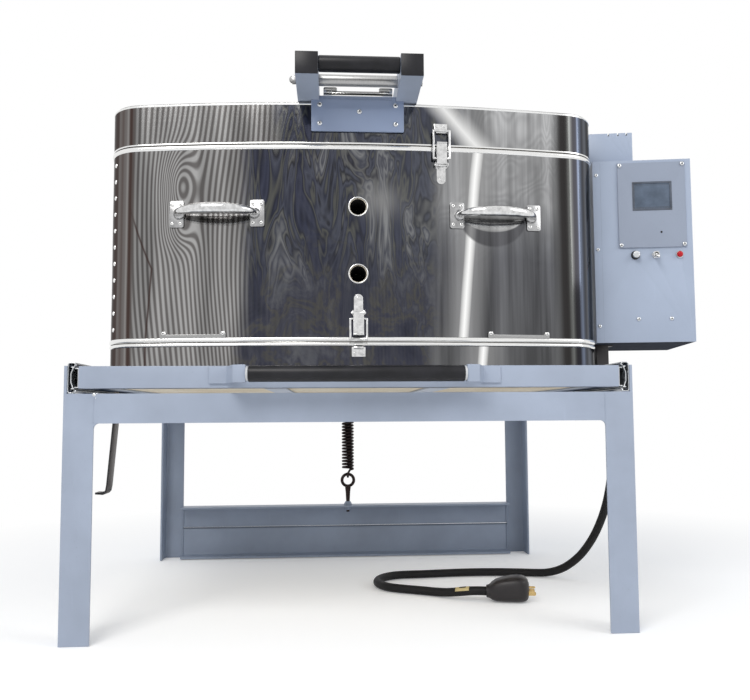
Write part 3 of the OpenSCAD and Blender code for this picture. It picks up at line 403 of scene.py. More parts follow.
# each material's maker and what it takes after the name
MATERIALS = dict(
    stand_paint=(paint, PAINT),
    box_paint=(paint, (0.37, 0.43, 0.545), 0.07),
    # the stand's paint darkened: painted shade for the parts that sit in shade
    shade_paint=(paint, (0.285, 0.335, 0.430), 0.14),
    panel_face=(paint, (0.285, 0.325, 0.41), 0.05),
    crease_paint=(paint, (0.16, 0.19, 0.245), 0.3),
    plate_paint=(paint, (0.250, 0.309, 0.446), 0.08),
    dark_paint=(paint, (0.030, 0.026, 0.027), 0.15),
    jacket_steel=(jacket_steel,),
    satin_tube=(metal, (0.50, 0.50, 0.50), 0.34, (30, 2, 2), 0.3),
    rim_steel=(metal, (0.86, 0.86, 0.85), 0.12, (4, 4, 30), 0.12),
    clip_steel=(metal, (0.42, 0.42, 0.42), 0.18, (4, 4, 60), 0.25),
    cast_steel=(metal, (0.50, 0.50, 0.505), 0.20, (1, 1, 1), 0.42, 0.1),
    zinc=(metal, (0.72, 0.74, 0.76), 0.24, (1, 1, 1), 0.25),
    ball_steel=(metal, (0.75, 0.75, 0.76), 0.1),
    latch_chrome=(metal, (0.80, 0.80, 0.80), 0.1, (2, 2, 2), 0.35),
    spring_steel=(metal, (0.040, 0.029, 0.028), 0.40, (1, 1, 1), 0.4, 0.2),
    strap_steel=(metal, (0.15, 0.14, 0.135), 0.42, (20, 20, 2), 0.4, 0.15),
    firebrick=(brickwork,),
    element_wire=(metal, (0.12, 0.11, 0.105), 0.6, (1, 1, 1), 0.4),
    sensor=(metal, (0.2, 0.19, 0.18), 0.5),
    black_grip=(plastic, (0.012, 0.012, 0.015), 0.36, 0.08, 500, 0.35, 0.28),
    cord_black=(plastic, (0.006, 0.0055, 0.006), 0.55, 0.12, 900, 0.3, 0.3),
    plug_black=(plastic, (0.013, 0.010, 0.011), 0.42, 0.1, 500, 0.3),
    black_plastic=(plastic, (0.014, 0.014, 0.015), 0.3, 0.03),
    white_collar=(plastic, (0.62, 0.63, 0.64), 0.4, 0.03, 700, 0.06),
    red_lens=(plastic, (0.46, 0.006, 0.014), 0.16, 0.0, 700, 0.15, 0.3),
    brass=(metal, (0.70, 0.50, 0.22), 0.25),
    tag=(plastic, (0.62, 0.50, 0.24), 0.5, 0.02, 700, 0.12),
    primer=(plastic, (0.040, 0.045, 0.060), 0.85, 0.1, 700, 0.15, 0.05),
    # near black: painted shade in holes and recesses, and print on the tag
    hole_black=(plastic, (0.01, 0.009, 0.008), 0.8, 0.05),
    screen_glass=(plastic, (0.105, 0.135, 0.185), 0.35, 0.0, 60, 0.25, 0.2),
    screen_bezel=(plastic, (0.075, 0.09, 0.12), 0.3, 0.03),
    contactor=(plastic, (0.03, 0.03, 0.032), 0.4, 0.05),
)


def make_materials():
    for name, (maker, *rest) in MATERIALS.items():
        MAT[name] = maker(name, *rest)


# ---------- mesh helpers ----------
def add(name, me, body, mat, slot, angle=38, nodes=()):
    ob = in_scene(name, me)
    me.materials.clear()
    me.materials.append(MAT[mat])
    me.shade_smooth()
    me.set_sharp_from_angle(angle=math.radians(angle))
    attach(ob, body)
    if nodes:
        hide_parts(*nodes)
    return ob


def applied(me, *mods):
    """A mesh with modifiers applied: each is (type, {settings})."""
    ob = in_scene("work", me)
    for kind, settings in mods:
        md = ob.modifiers.new(kind.lower(), kind)
        for k, v in settings.items():
            setattr(md, k, v)
    dg = bpy.context.evaluated_depsgraph_get()
    out = bpy.data.meshes.new_from_object(ob.evaluated_get(dg))
    bpy.data.objects.remove(ob)
    return out


def bevelled(me, width, seg=2, angle=32):
    return applied(me, ("BEVEL", dict(width=width, segments=seg, limit_method="ANGLE",
                                      angle_limit=math.radians(angle), use_clamp_overlap=True)))


def shape(parts, weld=True):
    """One mesh from (verts, faces) parts."""
    bm = bmesh.new()
    for verts, faces in parts:
        vs = [bm.verts.new(v) for v in verts]
        for f in faces:
            try:
                bm.faces.new([vs[i] for i in f])
            except ValueError:
                pass
    if weld:
        bmesh.ops.remove_doubles(bm, verts=bm.verts, dist=1e-6)
    bmesh.ops.recalc_face_normals(bm, faces=bm.faces)
    me = bpy.data.meshes.new("shape")
    bm.to_mesh(me)
    bm.free()
    return me


def cad_part(name, width=0.0008, seg=2, mat=None, angle=38):
    """A piece with the node's own shape and finely rounded edges, standing for the node."""
    me = NODES[name].data.copy()
    bm = bmesh.new()
    bm.from_mesh(me)
    bmesh.ops.remove_doubles(bm, verts=bm.verts, dist=2e-6)
    bmesh.ops.dissolve_limit(bm, angle_limit=math.radians(1), verts=bm.verts, edges=bm.edges)
    bm.to_mesh(me)
    bm.free()
    if width:
        me = bevelled(me, width, seg)
    add(name + "_piece", me, BODY[name], mat or SLOT[name], SLOT[name], angle, [name])


def skin(rings, sides, closed=False):
    """Faces between rings of verts that follow each other."""
    faces = []
    for i in range(rings if closed else rings - 1):
        a, b = i * sides, (i + 1) % rings * sides
        faces += [(a + k, a + (k + 1) % sides, b + (k + 1) % sides, b + k) for k in range(sides)]
    return faces


def ends(rings, sides):
    return [tuple(range(sides)), tuple(range((rings - 1) * sides, rings * sides))[::-1]]


def sweep(points, radius, sides=16, closed=False):
    """Verts and faces of a round bar along points. radius may be a list."""
    pts = [Vector(p) for p in points]
    n = len(pts)
    rad = radius if isinstance(radius, (list, tuple)) else [radius] * n
    verts, prev = [], None
    for i, p in enumerate(pts):
        a = pts[(i - 1) % n] if closed or i else pts[i]
        c = pts[(i + 1) % n] if closed or i < n - 1 else pts[i]
        t = (c - a).normalized()
        if prev is None:
            prev = Vector((0, 0, 1)) if abs(t.z) < 0.9 else Vector((0, 1, 0))
        prev = (prev - t * prev.dot(t)).normalized()
        side = t.cross(prev)
        for k in range(sides):
            w = 2 * math.pi * k / sides
            verts.append(p + (prev * math.cos(w) + side * math.sin(w)) * rad[i])
    return verts, skin(n, sides, closed) + ([] if closed else ends(n, sides))


def turned(profile, origin, axis, sides=32, close=True):
    """Verts and faces turned about an axis: profile is (distance along, radius) in metres."""
    axis = Vector(axis).normalized()
    u = axis.orthogonal().normalized()
    v = axis.cross(u)
    verts = []
    for d, r in profile:
        for k in range(sides):
            w = 2 * math.pi * k / sides
            verts.append(Vector(origin) + axis * d + (u * math.cos(w) + v * math.sin(w)) * r)
    n = len(profile)
    return verts, skin(n, sides) + (ends(n, sides) if close else [])


def prism(points, origin, ex, ey, ez, depth):
    """Verts and faces of a flat outline pushed along ez by depth."""
    ex, ey, ez = Vector(ex), Vector(ey), Vector(ez)
    n = len(points)
    verts = [Vector(origin) + ex * a + ey * b for a, b in points]
    verts += [v + ez * depth for v in verts]
    faces = [tuple(range(n)), tuple(range(n, 2 * n))[::-1]]
    faces += [(i, i + n, (i + 1) % n + n, (i + 1) % n) for i in range(n)]
    return verts, faces


def arc(cx, cy, r, a0, a1, steps):
    return [(cx + r * math.cos(math.radians(a0 + (a1 - a0) * i / steps)),
             cy + r * math.sin(math.radians(a0 + (a1 - a0) * i / steps))) for i in range(steps + 1)]


def steps(parts, first, last):
    """Angles in radians, a half turn cut into parts."""
    return [math.pi / parts * i for i in range(first, last)]


def rounded(w, h, r):
    """A rectangle with round corners, w and h being half its sides."""
    corners = ((w - r, h - r), (-w + r, h - r), (-w + r, -h + r), (w - r, -h + r))
    return [p for i, (x, y) in enumerate(corners) for p in arc(x, y, r, 90 * i, 90 * i + 90, 4)]


def mm(points):
    """Points in millimetres, in metres."""
    return [(a / 1000, b / 1000) for a, b in points]


# ---------- the kiln's outline ----------
def outline(inset):
    """Points round the kiln's steel in mm about its own middle, and their outward normals."""
    half_w, half_d = BODY_W / 2, BODY_D / 2
    r = max(CORNER_R - inset, 14)
    big = BOW_R - inset
    cx = half_w - inset - r
    cy = math.sqrt((big - r) ** 2 - cx * cx) - (BOW_R - half_d)
    turn = math.atan2(cx, cy + BOW_R - half_d)
    bow_steps, corner_steps = 30, 16
    quarter = []
    for i in range(bow_steps):
        a = turn * i / bow_steps
        quarter.append((big * math.sin(a), big * math.cos(a) - (BOW_R - half_d), math.sin(a), math.cos(a)))
    for i in range(corner_steps + 1):
        a = turn + (math.pi / 2 - turn) * i / corner_steps
        quarter.append((cx + r * math.sin(a), cy + r * math.cos(a), math.sin(a), math.cos(a)))
    flip = lambda q, sx, sy: [(sx * a, sy * b, sx * c, sy * d) for a, b, c, d in reversed(q)]
    pts = quarter + flip(quarter, 1, -1)[1:] + [(-a, -b, -c, -d) for a, b, c, d in quarter[1:]]
    return pts + flip(quarter[1:], -1, 1)[1:]


def rows(profile, wobble=0.0):
    """Verts and faces of a band round the kiln, and its points a row: profile is (inset, z) in mm."""
    verts = []
    for inset, z in profile:
        pts = outline(max(inset, 0))
        for x, y, nx, ny in pts:
            out = -min(inset, 0)
            w = wobble * (math.sin(x * 0.021 + z * 0.013) + math.sin(x * 0.047 - z * 0.031 + 1.3)) if wobble else 0
            verts.append(P(KILN_X + x + nx * (out + w), KILN_Y + BODY_D / 2 + y + ny * (out + w), z))
    return verts, skin(len(profile), len(pts)), len(pts)


def band(profile, wobble=0.0, cap_top=False):
    v, f, n = rows(profile, wobble)
    if cap_top:
        top = len(v) - n
        f.append(tuple(range(top, top + n)))
    return v, f


def rim(z, out=2.2, h=RIM_H):
    """A rolled bead round the edge of a jacket."""
    bulge = [(-out * math.sin(math.pi * t / 8) ** 0.6, z + h * t / 8) for t in range(1, 8)]
    return band([(0.2, z)] + bulge + [(0.2, z + h)])


def bow(x):
    """How far the bowed front lies behind its middle, in mm."""
    return BOW_R - math.sqrt(BOW_R * BOW_R - x * x)


def on_front(x, out, z, along=0.0):
    """A point near the bowed front: x from the kiln's middle, out in front of the steel, along the surface."""
    a = math.asin(x / BOW_R)
    return P(KILN_X + x + along * math.cos(a) + out * math.sin(a),
             KILN_Y + bow(x) + along * math.sin(a) - out * math.cos(a), z)


def front_axes(x):
    a = math.asin(x / BOW_R)
    return Vector((math.cos(a), math.sin(a), 0)), Vector((math.sin(a), -math.cos(a), 0))


def jackets():
    zs = lambda a, b, n: [a + (b - a) * i / n for i in range(n + 1)]
    wobble, hole_r = 0.12, 0.0155
    top = BASE_Z + SLAB_H
    me = shape([band([(1.2, BASE_Z)] + [(0, z) for z in zs(BASE_Z, top, 4)] + [(1.2, top)], wobble)])
    add("base_steel", me, "tray", "jacket_steel", "jacket_steel", nodes=["base_jacket"])
    me = shape([rim(top - RIM_H), rim(BASE_Z, 1.2, 5)])
    add("base_rim", me, "tray", "rim_steel", "jacket_steel")
    # the chamber's sheet is closed inside against the brick, so that the peepholes cut clean holes
    top = CHAMBER_Z + CHAMBER_H
    wall = [(1.2, CHAMBER_Z)] + [(0, z) for z in zs(CHAMBER_Z, top, 12)] + [(1.2, top), (1.2, CHAMBER_Z)]
    cutters = []
    for z in PEEPHOLES:
        cut = shape([turned([(-0.03, hole_r), (0.06, hole_r)], P(KILN_X, KILN_Y, z), BACK, 40)])
        cutters.append(in_scene("cut", cut))
    me = applied(shape([rows(wall, wobble)[:2]]),
                 *[("BOOLEAN", dict(object=o, operation="DIFFERENCE", solver="EXACT")) for o in cutters])
    for o in cutters:
        bpy.data.objects.remove(o)
    add("chamber_steel", me, "chamber", "jacket_steel", "jacket_steel", nodes=["chamber_jacket"])
    me = shape([rim(CHAMBER_Z, 2.4, 8.5), rim(top - 8.5, 2.4, 8.5)])
    add("chamber_rims", me, "chamber", "rim_steel", "jacket_steel")
    # the lid's sheet is folded over its top edge, with a hem at the foot
    r = 3
    side = [(1.2, LID_Z)] + [(0, z) for z in zs(LID_Z, LID_TOP - 6, 5)] + [(0, LID_TOP + 0.8 - r)]
    side += [(0, LID_TOP + 1.2 - r)]
    side += [(r - r * math.cos(a), LID_TOP + 1.2 - r + r * math.sin(a)) for a in steps(12, 1, 7)]
    side += [(14, LID_TOP + 1.2)]
    add("lid_steel", shape([band(side, wobble, True)]), "lid", "jacket_steel", "jacket_steel", nodes=["lid_jacket"])
    foot = [(0.1, LID_Z), (-1, LID_Z + 0.3), (-1.2, LID_Z + 1.5), (-1, LID_Z + 2.8), (0.1, LID_Z + 3.2)]
    head = [(0.1, LID_TOP - 4.2), (-0.8, LID_TOP - 3.4), (-0.8, LID_TOP - 1.2), (0.6, LID_TOP - 0.2)]
    add("lid_hem", shape([band(foot), band(head)]), "lid", "rim_steel", "jacket_steel")
    # the spots of weld up the seam at the left corner
    seam_x, low, high, count = -(BODY_W / 2 - 12), CHAMBER_Z + 26, top - 26, 11
    x, y, nx, ny = min(outline(0), key=lambda q: abs(q[0] - seam_x) + (1000 if q[1] > 0 else 0))
    dot, dots = [(-0.0004, 0.0042), (0.0003, 0.0040), (0.0011, 0.0030), (0.0015, 0.0008)], []
    for i in range(count):
        at = P(KILN_X + x, KILN_Y + BODY_D / 2 + y, low + i * (high - low) / (count - 1))
        dots.append(turned(dot, at, (nx, ny, 0), 14))
    add("corner_spots", shape(dots), "chamber", "rim_steel", "jacket_steel")


# ---------- stand ----------
def angle_profile(w, h, t, r_in=3.5, r_toe=1.6, r_out=0.8):
    """An angle iron's section in metres, its sizes in mm."""
    pts = arc(r_out, r_out, r_out, 180, 270, 3)
    pts.append((w, 0))
    pts += arc(w - r_toe, t - r_toe, r_toe, 0, 90, 4)
    pts += arc(t + r_in, t + r_in, r_in, 270, 180, 5)
    pts += arc(t - r_toe, h - r_toe, r_toe, 0, 90, 4) + [(0, h)]
    return mm(dict.fromkeys(pts))


def rail(profile, a, ex, ey, ez, length):
    """A section pushed along ez from the point a, in mm."""
    return prism(profile, P(*a), ex, ey, ez, length / 1000)


def weld(points, r=2.6, seed=0):
    """A ripple weld bead along a line, in mm."""
    a, b = Vector(points[0]), Vector(points[1])
    n = max(3, int((b - a).length / 3.2))
    pts, rad = [], []
    for i in range(n * 2 + 1):
        t = i / (n * 2)
        wob = 0.35 * math.sin(i * 2.3 + seed)
        p = a.lerp(b, t)
        pts.append(P(p.x + wob * 0.4, p.y, p.z + wob * 0.3))
        rad.append((r * (0.82 if i % 2 else 1.0)) / 1000)
    return sweep(pts, rad, 8)


def stand():
    L = angle_profile(ANGLE, ANGLE, 5)
    half, inner = STAND_W / 2, STAND_W / 2 - ANGLE

    def irons(name, parts, mat, node):
        add(name, bevelled(shape(parts), 0.0004, 1, 50), "stand", mat, "stand_paint", nodes=[node])

    def beads(name, parts, mat):
        add(name, shape(parts, False), "stand", mat, "stand_paint", 60)

    # the front legs' tops are cut down to one flange beside the tray
    strip = [(0, 0.0008), (0.0008, 0), (0.005, 0), (0.005, 0.0492), (0.0034, 0.0508), (0, 0.0508)]
    parts = []
    for s in (-1, 1):
        parts.append(rail(L, (s * half, 0, 0), (-s, 0, 0), BACK, UP, RAIL_TOP))
        parts.append(rail(strip, (s * half, 0, RAIL_TOP), (-s, 0, 0), BACK, UP, 47.7))
    irons("front_leg_irons", parts, "stand_paint", "front_legs")
    parts = [rail(L, (s * half, STAND_D, 0), (-s, 0, 0), FRONT, UP, 468) for s in (-1, 1)]
    irons("rear_leg_irons", parts, "shade_paint", "rear_legs")
    # small fillets under the rail's ends, ground flush at the front
    parts = [rail(L, (-inner, 0, RAIL_TOP), (0, 0, -1), BACK, RIGHT, 2 * inner)]
    r = 0.009
    fillet = [(0, 0), (r, 0)] + [(r - r * math.sin(a), -r + r * math.cos(a)) for a in steps(12, 1, 6)] + [(0, -r)]
    for s in (-1, 1):
        parts.append(prism(fillet, P(s * inner, 0.2, RAIL_TOP - ANGLE), (-s, 0, 0), UP, BACK, 0.0044))
    irons("front_rail_iron", parts, "stand_paint", "front_rail")
    cad_part("side_rails", 0.0008, 2, "shade_paint")
    parts = [rail(angle_profile(45, 74, 5), (-inner, STAND_D, 2), FRONT, UP, RIGHT, 2 * inner),
             rail(angle_profile(45, 57, 5), (-inner, STAND_D, 137), FRONT, (0, 0, -1), RIGHT, 2 * inner)]
    irons("rear_crossbar_irons", parts, "shade_paint", "rear_crossbars")
    # the weld between the two crossbars, dark with painted shade in the crease between them, and the beads at the
    # joints
    bead_y = STAND_D - 5.2
    beads("crossbar_bead", [weld([(-inner, bead_y, 78.2), (inner, bead_y, 77.6)], 2.0)], "crease_paint")
    parts, seams = [], []
    for s in (-1, 1):
        x = s * inner
        parts.append(weld([(x, 52, RAIL_TOP - 6), (x, 7, RAIL_TOP - 6)], 2.4, 1))
        parts.append(weld([(x, 6.0, RAIL_TOP - 8), (x, 6.0, RAIL_TOP - 48)], 2.6, 2))
        parts += [weld([(x, STAND_D - 6, z0), (x, STAND_D - 6, z1)], 2.6, 3) for z0, z1 in ((6, 74), (84, 134))]
        seams.append(weld([(x, 0.5, RAIL_TOP - 3), (x, 0.5, RAIL_TOP - 49)], 1.3, 4))
    beads("frame_welds", parts, "shade_paint")
    beads("front_seams", seams, "stand_paint")
    spots = []
    for dx, dz, r in ((0, 2, 3.2), (5, 4, 1.7), (3, -4, 1.2)):
        spots.append(turned([(0, r / 1000), (0.0007, r * 0.8 / 1000), (0.0012, r * 0.3 / 1000)],
                            P(-inner + dx, 0.1, RAIL_TOP - 4 + dz), FRONT, 10))
    beads("weld_spots", spots, "zinc")
    for n in ("stand_hinge_brackets", "lock_bracket"):
        cad_part(n, 0.0008, 2, "shade_paint")
    # the post under the box in near-black paint: painted shade
    cad_part("control_box_post", 0.0008, 2, "dark_paint")
    cad_part("lock_bolt", 0.0007)
    cad_part("chamber_hinge_rod", 0.001)


def lock_lever():
    """A worn flat strap that leans a little, with a rounded eye, a cam nose and a foot bent to the left."""
    x0, y0, z0, w = -428.0, 80.8, 394.3, 24
    line = [(x0, z0 + 10), (x0, z0 - 8)] + [(x0 - 11 * t, z0 - 8 - 133 * t) for t in (0.2, 0.4, 0.6, 0.8, 0.96)]
    foot = len(line) + 3
    line += [(x0 - dx, z0 - dz) for dx, dz in ((12.2, 145), (15, 148), (19, 149.4), (25, 149.6), (32, 149.2))]
    v = []
    for i, (x, z) in enumerate(line):
        a, b = line[max(i - 1, 0)], line[min(i + 1, len(line) - 1)]
        d = Vector((b[0] - a[0], b[1] - a[1])).normalized()
        t = 2.6 if i < foot else 1.8
        for dy, dt in ((-w / 2, -t), (w / 2, -t), (w / 2, t), (-w / 2, t)):
            v.append(P(x - d.y * dt, y0 + dy, z + d.x * dt))
    strap = v, skin(len(line), 4) + ends(len(line), 4)
    eye = turned([(-0.003, 0.0118), (-0.0026, 0.012), (0.0026, 0.012), (0.003, 0.0118)], P(x0, y0, z0), RIGHT, 32)
    nose = prism([(-0.012, 0), (0, 0), (0, 0.0318), (-0.010, 0.0318), (-0.012, 0.0298)],
                 P(x0 - 2.9, y0, z0), BACK, UP, RIGHT, 0.0058)
    add("lock_strap", bevelled(shape([strap, eye, nose], False), 0.0008, 2, 40), "lock_lever", "strap_steel",
        SLOT["tray_lock_lever"], nodes=["tray_lock_lever"])


# ---------- slides and tray ----------
def slides():
    cad_part("slide_outer_members", 0.0006, 3)
    cad_part("slide_middle_members", 0.0005, 2)
    cad_part("slide_inner_members", 0.0006, 3)
    for slot in NODES["slide_balls"].material_slots:
        slot.material = MAT["ball_steel"]


def tray():
    cad_part("tray_frame", 0.0012, 3)
    cad_part("tray_handle_brackets", 0.0013, 3)
    gz, gy, gx = 451.3, -45, KILN_X - 4
    grip = [(0, 0.0004), (0, 0.0126), (0.0006, 0.0136), (0.0018, 0.0140), (0.3622, 0.0140), (0.3634, 0.0136),
            (0.364, 0.0126), (0.364, 0.0004)]
    add("tray_grip", shape([turned(grip, P(gx - 182, gy, gz), RIGHT, 40)]), "tray", "black_grip", "black_grip",
        nodes=["tray_handle_grip"])
    collar = [(0, 0.006), (0, 0.0118), (0.0008, 0.0126), (0.0032, 0.0126), (0.004, 0.0118), (0.004, 0.006)]
    collars = [turned(collar, P(x, gy, gz), RIGHT, 28, False) for x in (gx - 186, gx + 182)]
    add("grip_collars", shape(collars), "tray", "white_collar", "zinc")


# ---------- fasteners ----------
def pan_head(at, axis, r, h):
    """A pan head, as verts and faces."""
    return turned([(0, r), (h * 0.45, r), (h * 0.8, r * 0.82), (h, r * 0.45), (h, r * 0.02)], at, axis, 20)


def cross(at, axis, r, h):
    """The cross that a driver fits, laid just over a head and dark with painted shade in the recess."""
    axis = Vector(axis).normalized()
    u = axis.orthogonal().normalized()
    w = axis.cross(u)
    out = []
    a, arm, lift, deep = r * 0.11, r * 0.48, 0.00003, 0.0004
    b = Vector(at) + axis * (h + lift)
    for e1, e2 in ((u, w), (w, u)):
        pts = [b + e1 * (i * arm) + e2 * (j * a) for i, j in ((-1, -1), (1, -1), (1, 1), (-1, 1))]
        pts += [p - axis * deep for p in pts]
        out.append((pts, [(0, 1, 2, 3), (4, 5, 6, 7), (0, 1, 5, 4), (1, 2, 6, 5), (2, 3, 7, 6), (3, 0, 4, 7)]))
    return out


def screws(name, body, spots, mat="zinc", slot="zinc", nodes=()):
    """spots: (point, axis, radius, height) in metres."""
    add(name, shape([pan_head(*s) for s in spots], False), body, mat, slot, 50, nodes)
    add(name + "_recesses", shape([arm for s in spots for arm in cross(*s)], False), body, "hole_black", slot)


def chamber_fittings():
    # peepholes: a rolled rim and a throat painted black for the shade inside the hole
    ring = [(0.0, 0.0180), (0.0012, 0.0180), (0.0021, 0.0173), (0.0023, 0.0166), (0.0020, 0.0159), (0.0010, 0.01555),
            (-0.004, 0.01555)]
    throat = [(0.0015, 0.0154), (0.003, 0.0143), (0.076, 0.0140)]
    centres = [P(KILN_X, KILN_Y, z) for z in PEEPHOLES]
    add("peephole_rims", shape([turned(ring, at, FRONT, 48, False) for at in centres]), "chamber", "rim_steel",
        "latch_chrome", 60, ["peephole_rings"])
    add("peephole_throats", shape([turned(throat, at, BACK, 40, False) for at in centres]), "chamber", "hole_black",
        "firebrick")
    # side handles: one swept bar each, thinner where it meets its plates
    bars, plates, spots = [], [], []
    for x in (-250, 250):
        pts, rad = [], []
        for i in range(41):
            t = i / 40
            rise = 38 * math.sin(math.pi * t) ** 0.42 if 0 < t < 1 else 0
            pts.append(on_front(x, 4 + rise, HANDLE_Z, (t - 0.5) * 140))
            rad.append((9.6 - 4.4 * (abs(t - 0.5) * 2) ** 2.4) / 1000)
        bars.append(sweep(pts, rad, 24))
        ex, out = front_axes(x)
        for s in (-1, 1):
            c = s * 72
            plates.append(prism(mm(rounded(13, 24, 3.5)), on_front(x, 0.2, HANDLE_Z, c), ex, UP, out, 0.0023))
            # the pressed socket that the bar sits in
            plates.append(turned([(0, 0.0105), (0.0015, 0.0102), (0.004, 0.0088), (0.0065, 0.0062)],
                                 on_front(x, 2.3, HANDLE_Z, s * 67), out, 24))
            spots += [(on_front(x, 2.4, HANDLE_Z + z, c + dx), out, 0.0033, 0.0022)
                      for dx in (-7.5, 7.5) for z in (-17, 17)]
    add("handle_bars", shape(bars, False), "chamber", "latch_chrome", "latch_chrome", 60, ["side_handle_bars"])
    add("handle_plates", bevelled(shape(plates, False), 0.0005, 2, 40), "chamber", "cast_steel", "latch_chrome",
        nodes=["side_handle_plates"])
    # clips over the lower rim
    clips, rim_top = [], CHAMBER_Z + RIM_H
    clip = [(-58, 0), (58, 0), (58, 9), (56, 12), (50, 12), (47, 6.5), (-47, 6.5), (-50, 12), (-56, 12), (-58, 9)]
    for x in (-290, 290):
        ex, out = front_axes(x)
        clips.append(prism(mm(clip), on_front(x, 0.2, rim_top + 0.2), ex, UP, out, 0.0018))
        spots += [(on_front(x, 1.4, rim_top + 8.5, s * 53), out, 0.0036, 0.0022) for s in (-1, 1)]
    add("clip_plates", bevelled(shape(clips, False), 0.0004, 2, 40), "chamber", "clip_steel", "jacket_steel",
        nodes=["rim_clips"])
    screws("chamber_screws", "chamber", spots, "rim_steel", "zinc", ["chamber_fasteners"])
    cad_part("thermocouple", 0.001)
    cad_part("chamber_hinge_arms", 0.001, 2, "shade_paint")
    cad_part("lid_hinge_rod", 0.001)
    for n in ("lower_latch", "upper_latch"):
        for part in ("base", "lever", "keeper"):
            cad_part(n + "_" + part, 0.0003, 2, "latch_chrome", 40)
    for n in ("lower_latch_bail", "upper_latch_bail"):
        cad_part(n, 0, 1, "latch_chrome", 60)


# ---------- brick and elements ----------
def hot_parts():
    for n in ("base_bricks", "chamber_bricks", "lid_bricks"):
        cad_part(n, 0.0012, 1, "firebrick", 40)
    # element coils in the brick's grooves, two to a row of bricks: first a walk round the groove at an even step
    groove, step, coil_r, points_a_turn = 77.2 - 7, 3.4, 3.6, 4.5
    pts = [Vector((x, y, 0)) for x, y, _, _ in outline(groove)]
    walk, acc = [], 0.0
    for i, a in enumerate(pts):
        b = pts[(i + 1) % len(pts)]
        d = (b - a).length
        while acc < d:
            walk.append((a.lerp(b, acc / d), (b - a).normalized()))
            acc += step
        acc -= d
    coils = []
    for row in range(3):
        for share in (0.28, 0.72):
            z = CHAMBER_Z + (row + share) * CHAMBER_H / 3
            line = []
            for k, (p, t) in enumerate(walk):
                w = 2 * math.pi * k / points_a_turn
                q = p + Vector((-t.y, t.x, 0)) * coil_r * math.cos(w)
                line.append(P(KILN_X + q.x, KILN_Y + BODY_D / 2 + q.y, z + coil_r * math.sin(w)))
            coils.append(sweep(line, 0.0009, 3, True))
    add("element_coils", shape(coils, False), "chamber", "element_wire", "element_wire", 80, ["heating_elements"])


# ---------- lid lift ----------
def lift():
    cad_part("lift_arms", 0.0018, 3, "stand_paint")
    cad_part("arm_caps", 0.0009, 2, "black_grip")
    grip = P(KILN_X - 69, -84, 969.35)
    sleeve = [(0.0002, 0.0042), (0.0002, 0.0120), (0.0010, 0.0132), (0.0024, 0.0135), (0.1356, 0.0135),
              (0.1370, 0.0132), (0.1378, 0.0120), (0.1378, 0.0042)]
    add("lift_grip_sleeve", shape([turned(sleeve, grip, RIGHT, 40, False)]), "lid", "black_grip", "black_grip",
        nodes=["lift_grip"])
    bolt = [(-0.038, 0.0001), (-0.038, 0.004), (0.176, 0.004), (0.176, 0.0001)]
    add("lift_grip_bolt", shape([turned(bolt, grip, RIGHT, 20)]), "lid", "zinc", "zinc")
    cad_part("lift_spacer_bolt", 0.0008, 3, "satin_tube", 30)
    # the front plate, with a narrower tongue up between the arms
    top, y = 952.3, KILN_Y - 4.2
    low, mid, w, n = top - 65, 944.3, 83, 68.95
    prof = arc(w - 2, low + 2, 2, 270, 360, 3) + [(w, mid), (n, mid), (n, top), (-n, top), (-n, mid), (-w, mid)]
    prof += arc(-w + 2, low + 2, 2, 180, 270, 3)
    plate = shape([prism(mm(prof), P(KILN_X, y + 4, 0), RIGHT, UP, FRONT, 0.004)])
    add("front_plate", bevelled(plate, 0.0007, 2, 40), "lid", "plate_paint", "stand_paint", nodes=["lid_front_plate"])
    places = [(x, z) for x in (-68, 68) for z in (17, 51)] + [(3, 29)]
    screws("plate_screws", "lid", [(P(KILN_X + x, y, top - z), FRONT, 0.0046, 0.0027) for x, z in places])
    # the bright channel with its two tabs below the spacer
    cy, half = -16.5, 0.061
    parts, spots = [], []
    for z, h, deep in ((943.3, 0.009, 0.003), (945.3, 0.003, 0.0203)):
        bar = [(-half, 0), (half, 0), (half, h), (-half, h)]
        parts.append(prism(bar, P(KILN_X, cy, z), RIGHT, UP, BACK, deep))
    tab = [(-12, 0), (12, 0)] + arc(9, 7, 3, 0, 90, 4) + arc(-9, 7, 3, 90, 180, 4)
    for x in (-49, 49):
        parts.append(prism(mm(tab), P(KILN_X + x, cy - 0.2, 949), RIGHT, UP, BACK, 0.0032))
        spots.append((P(KILN_X + x, cy - 0.2, 951), FRONT, 0.0028, 0.0012))
    add("lift_channel", bevelled(shape(parts, False), 0.0004, 2, 40), "lid", "rim_steel", "zinc")
    screws("channel_screws", "lid", spots)


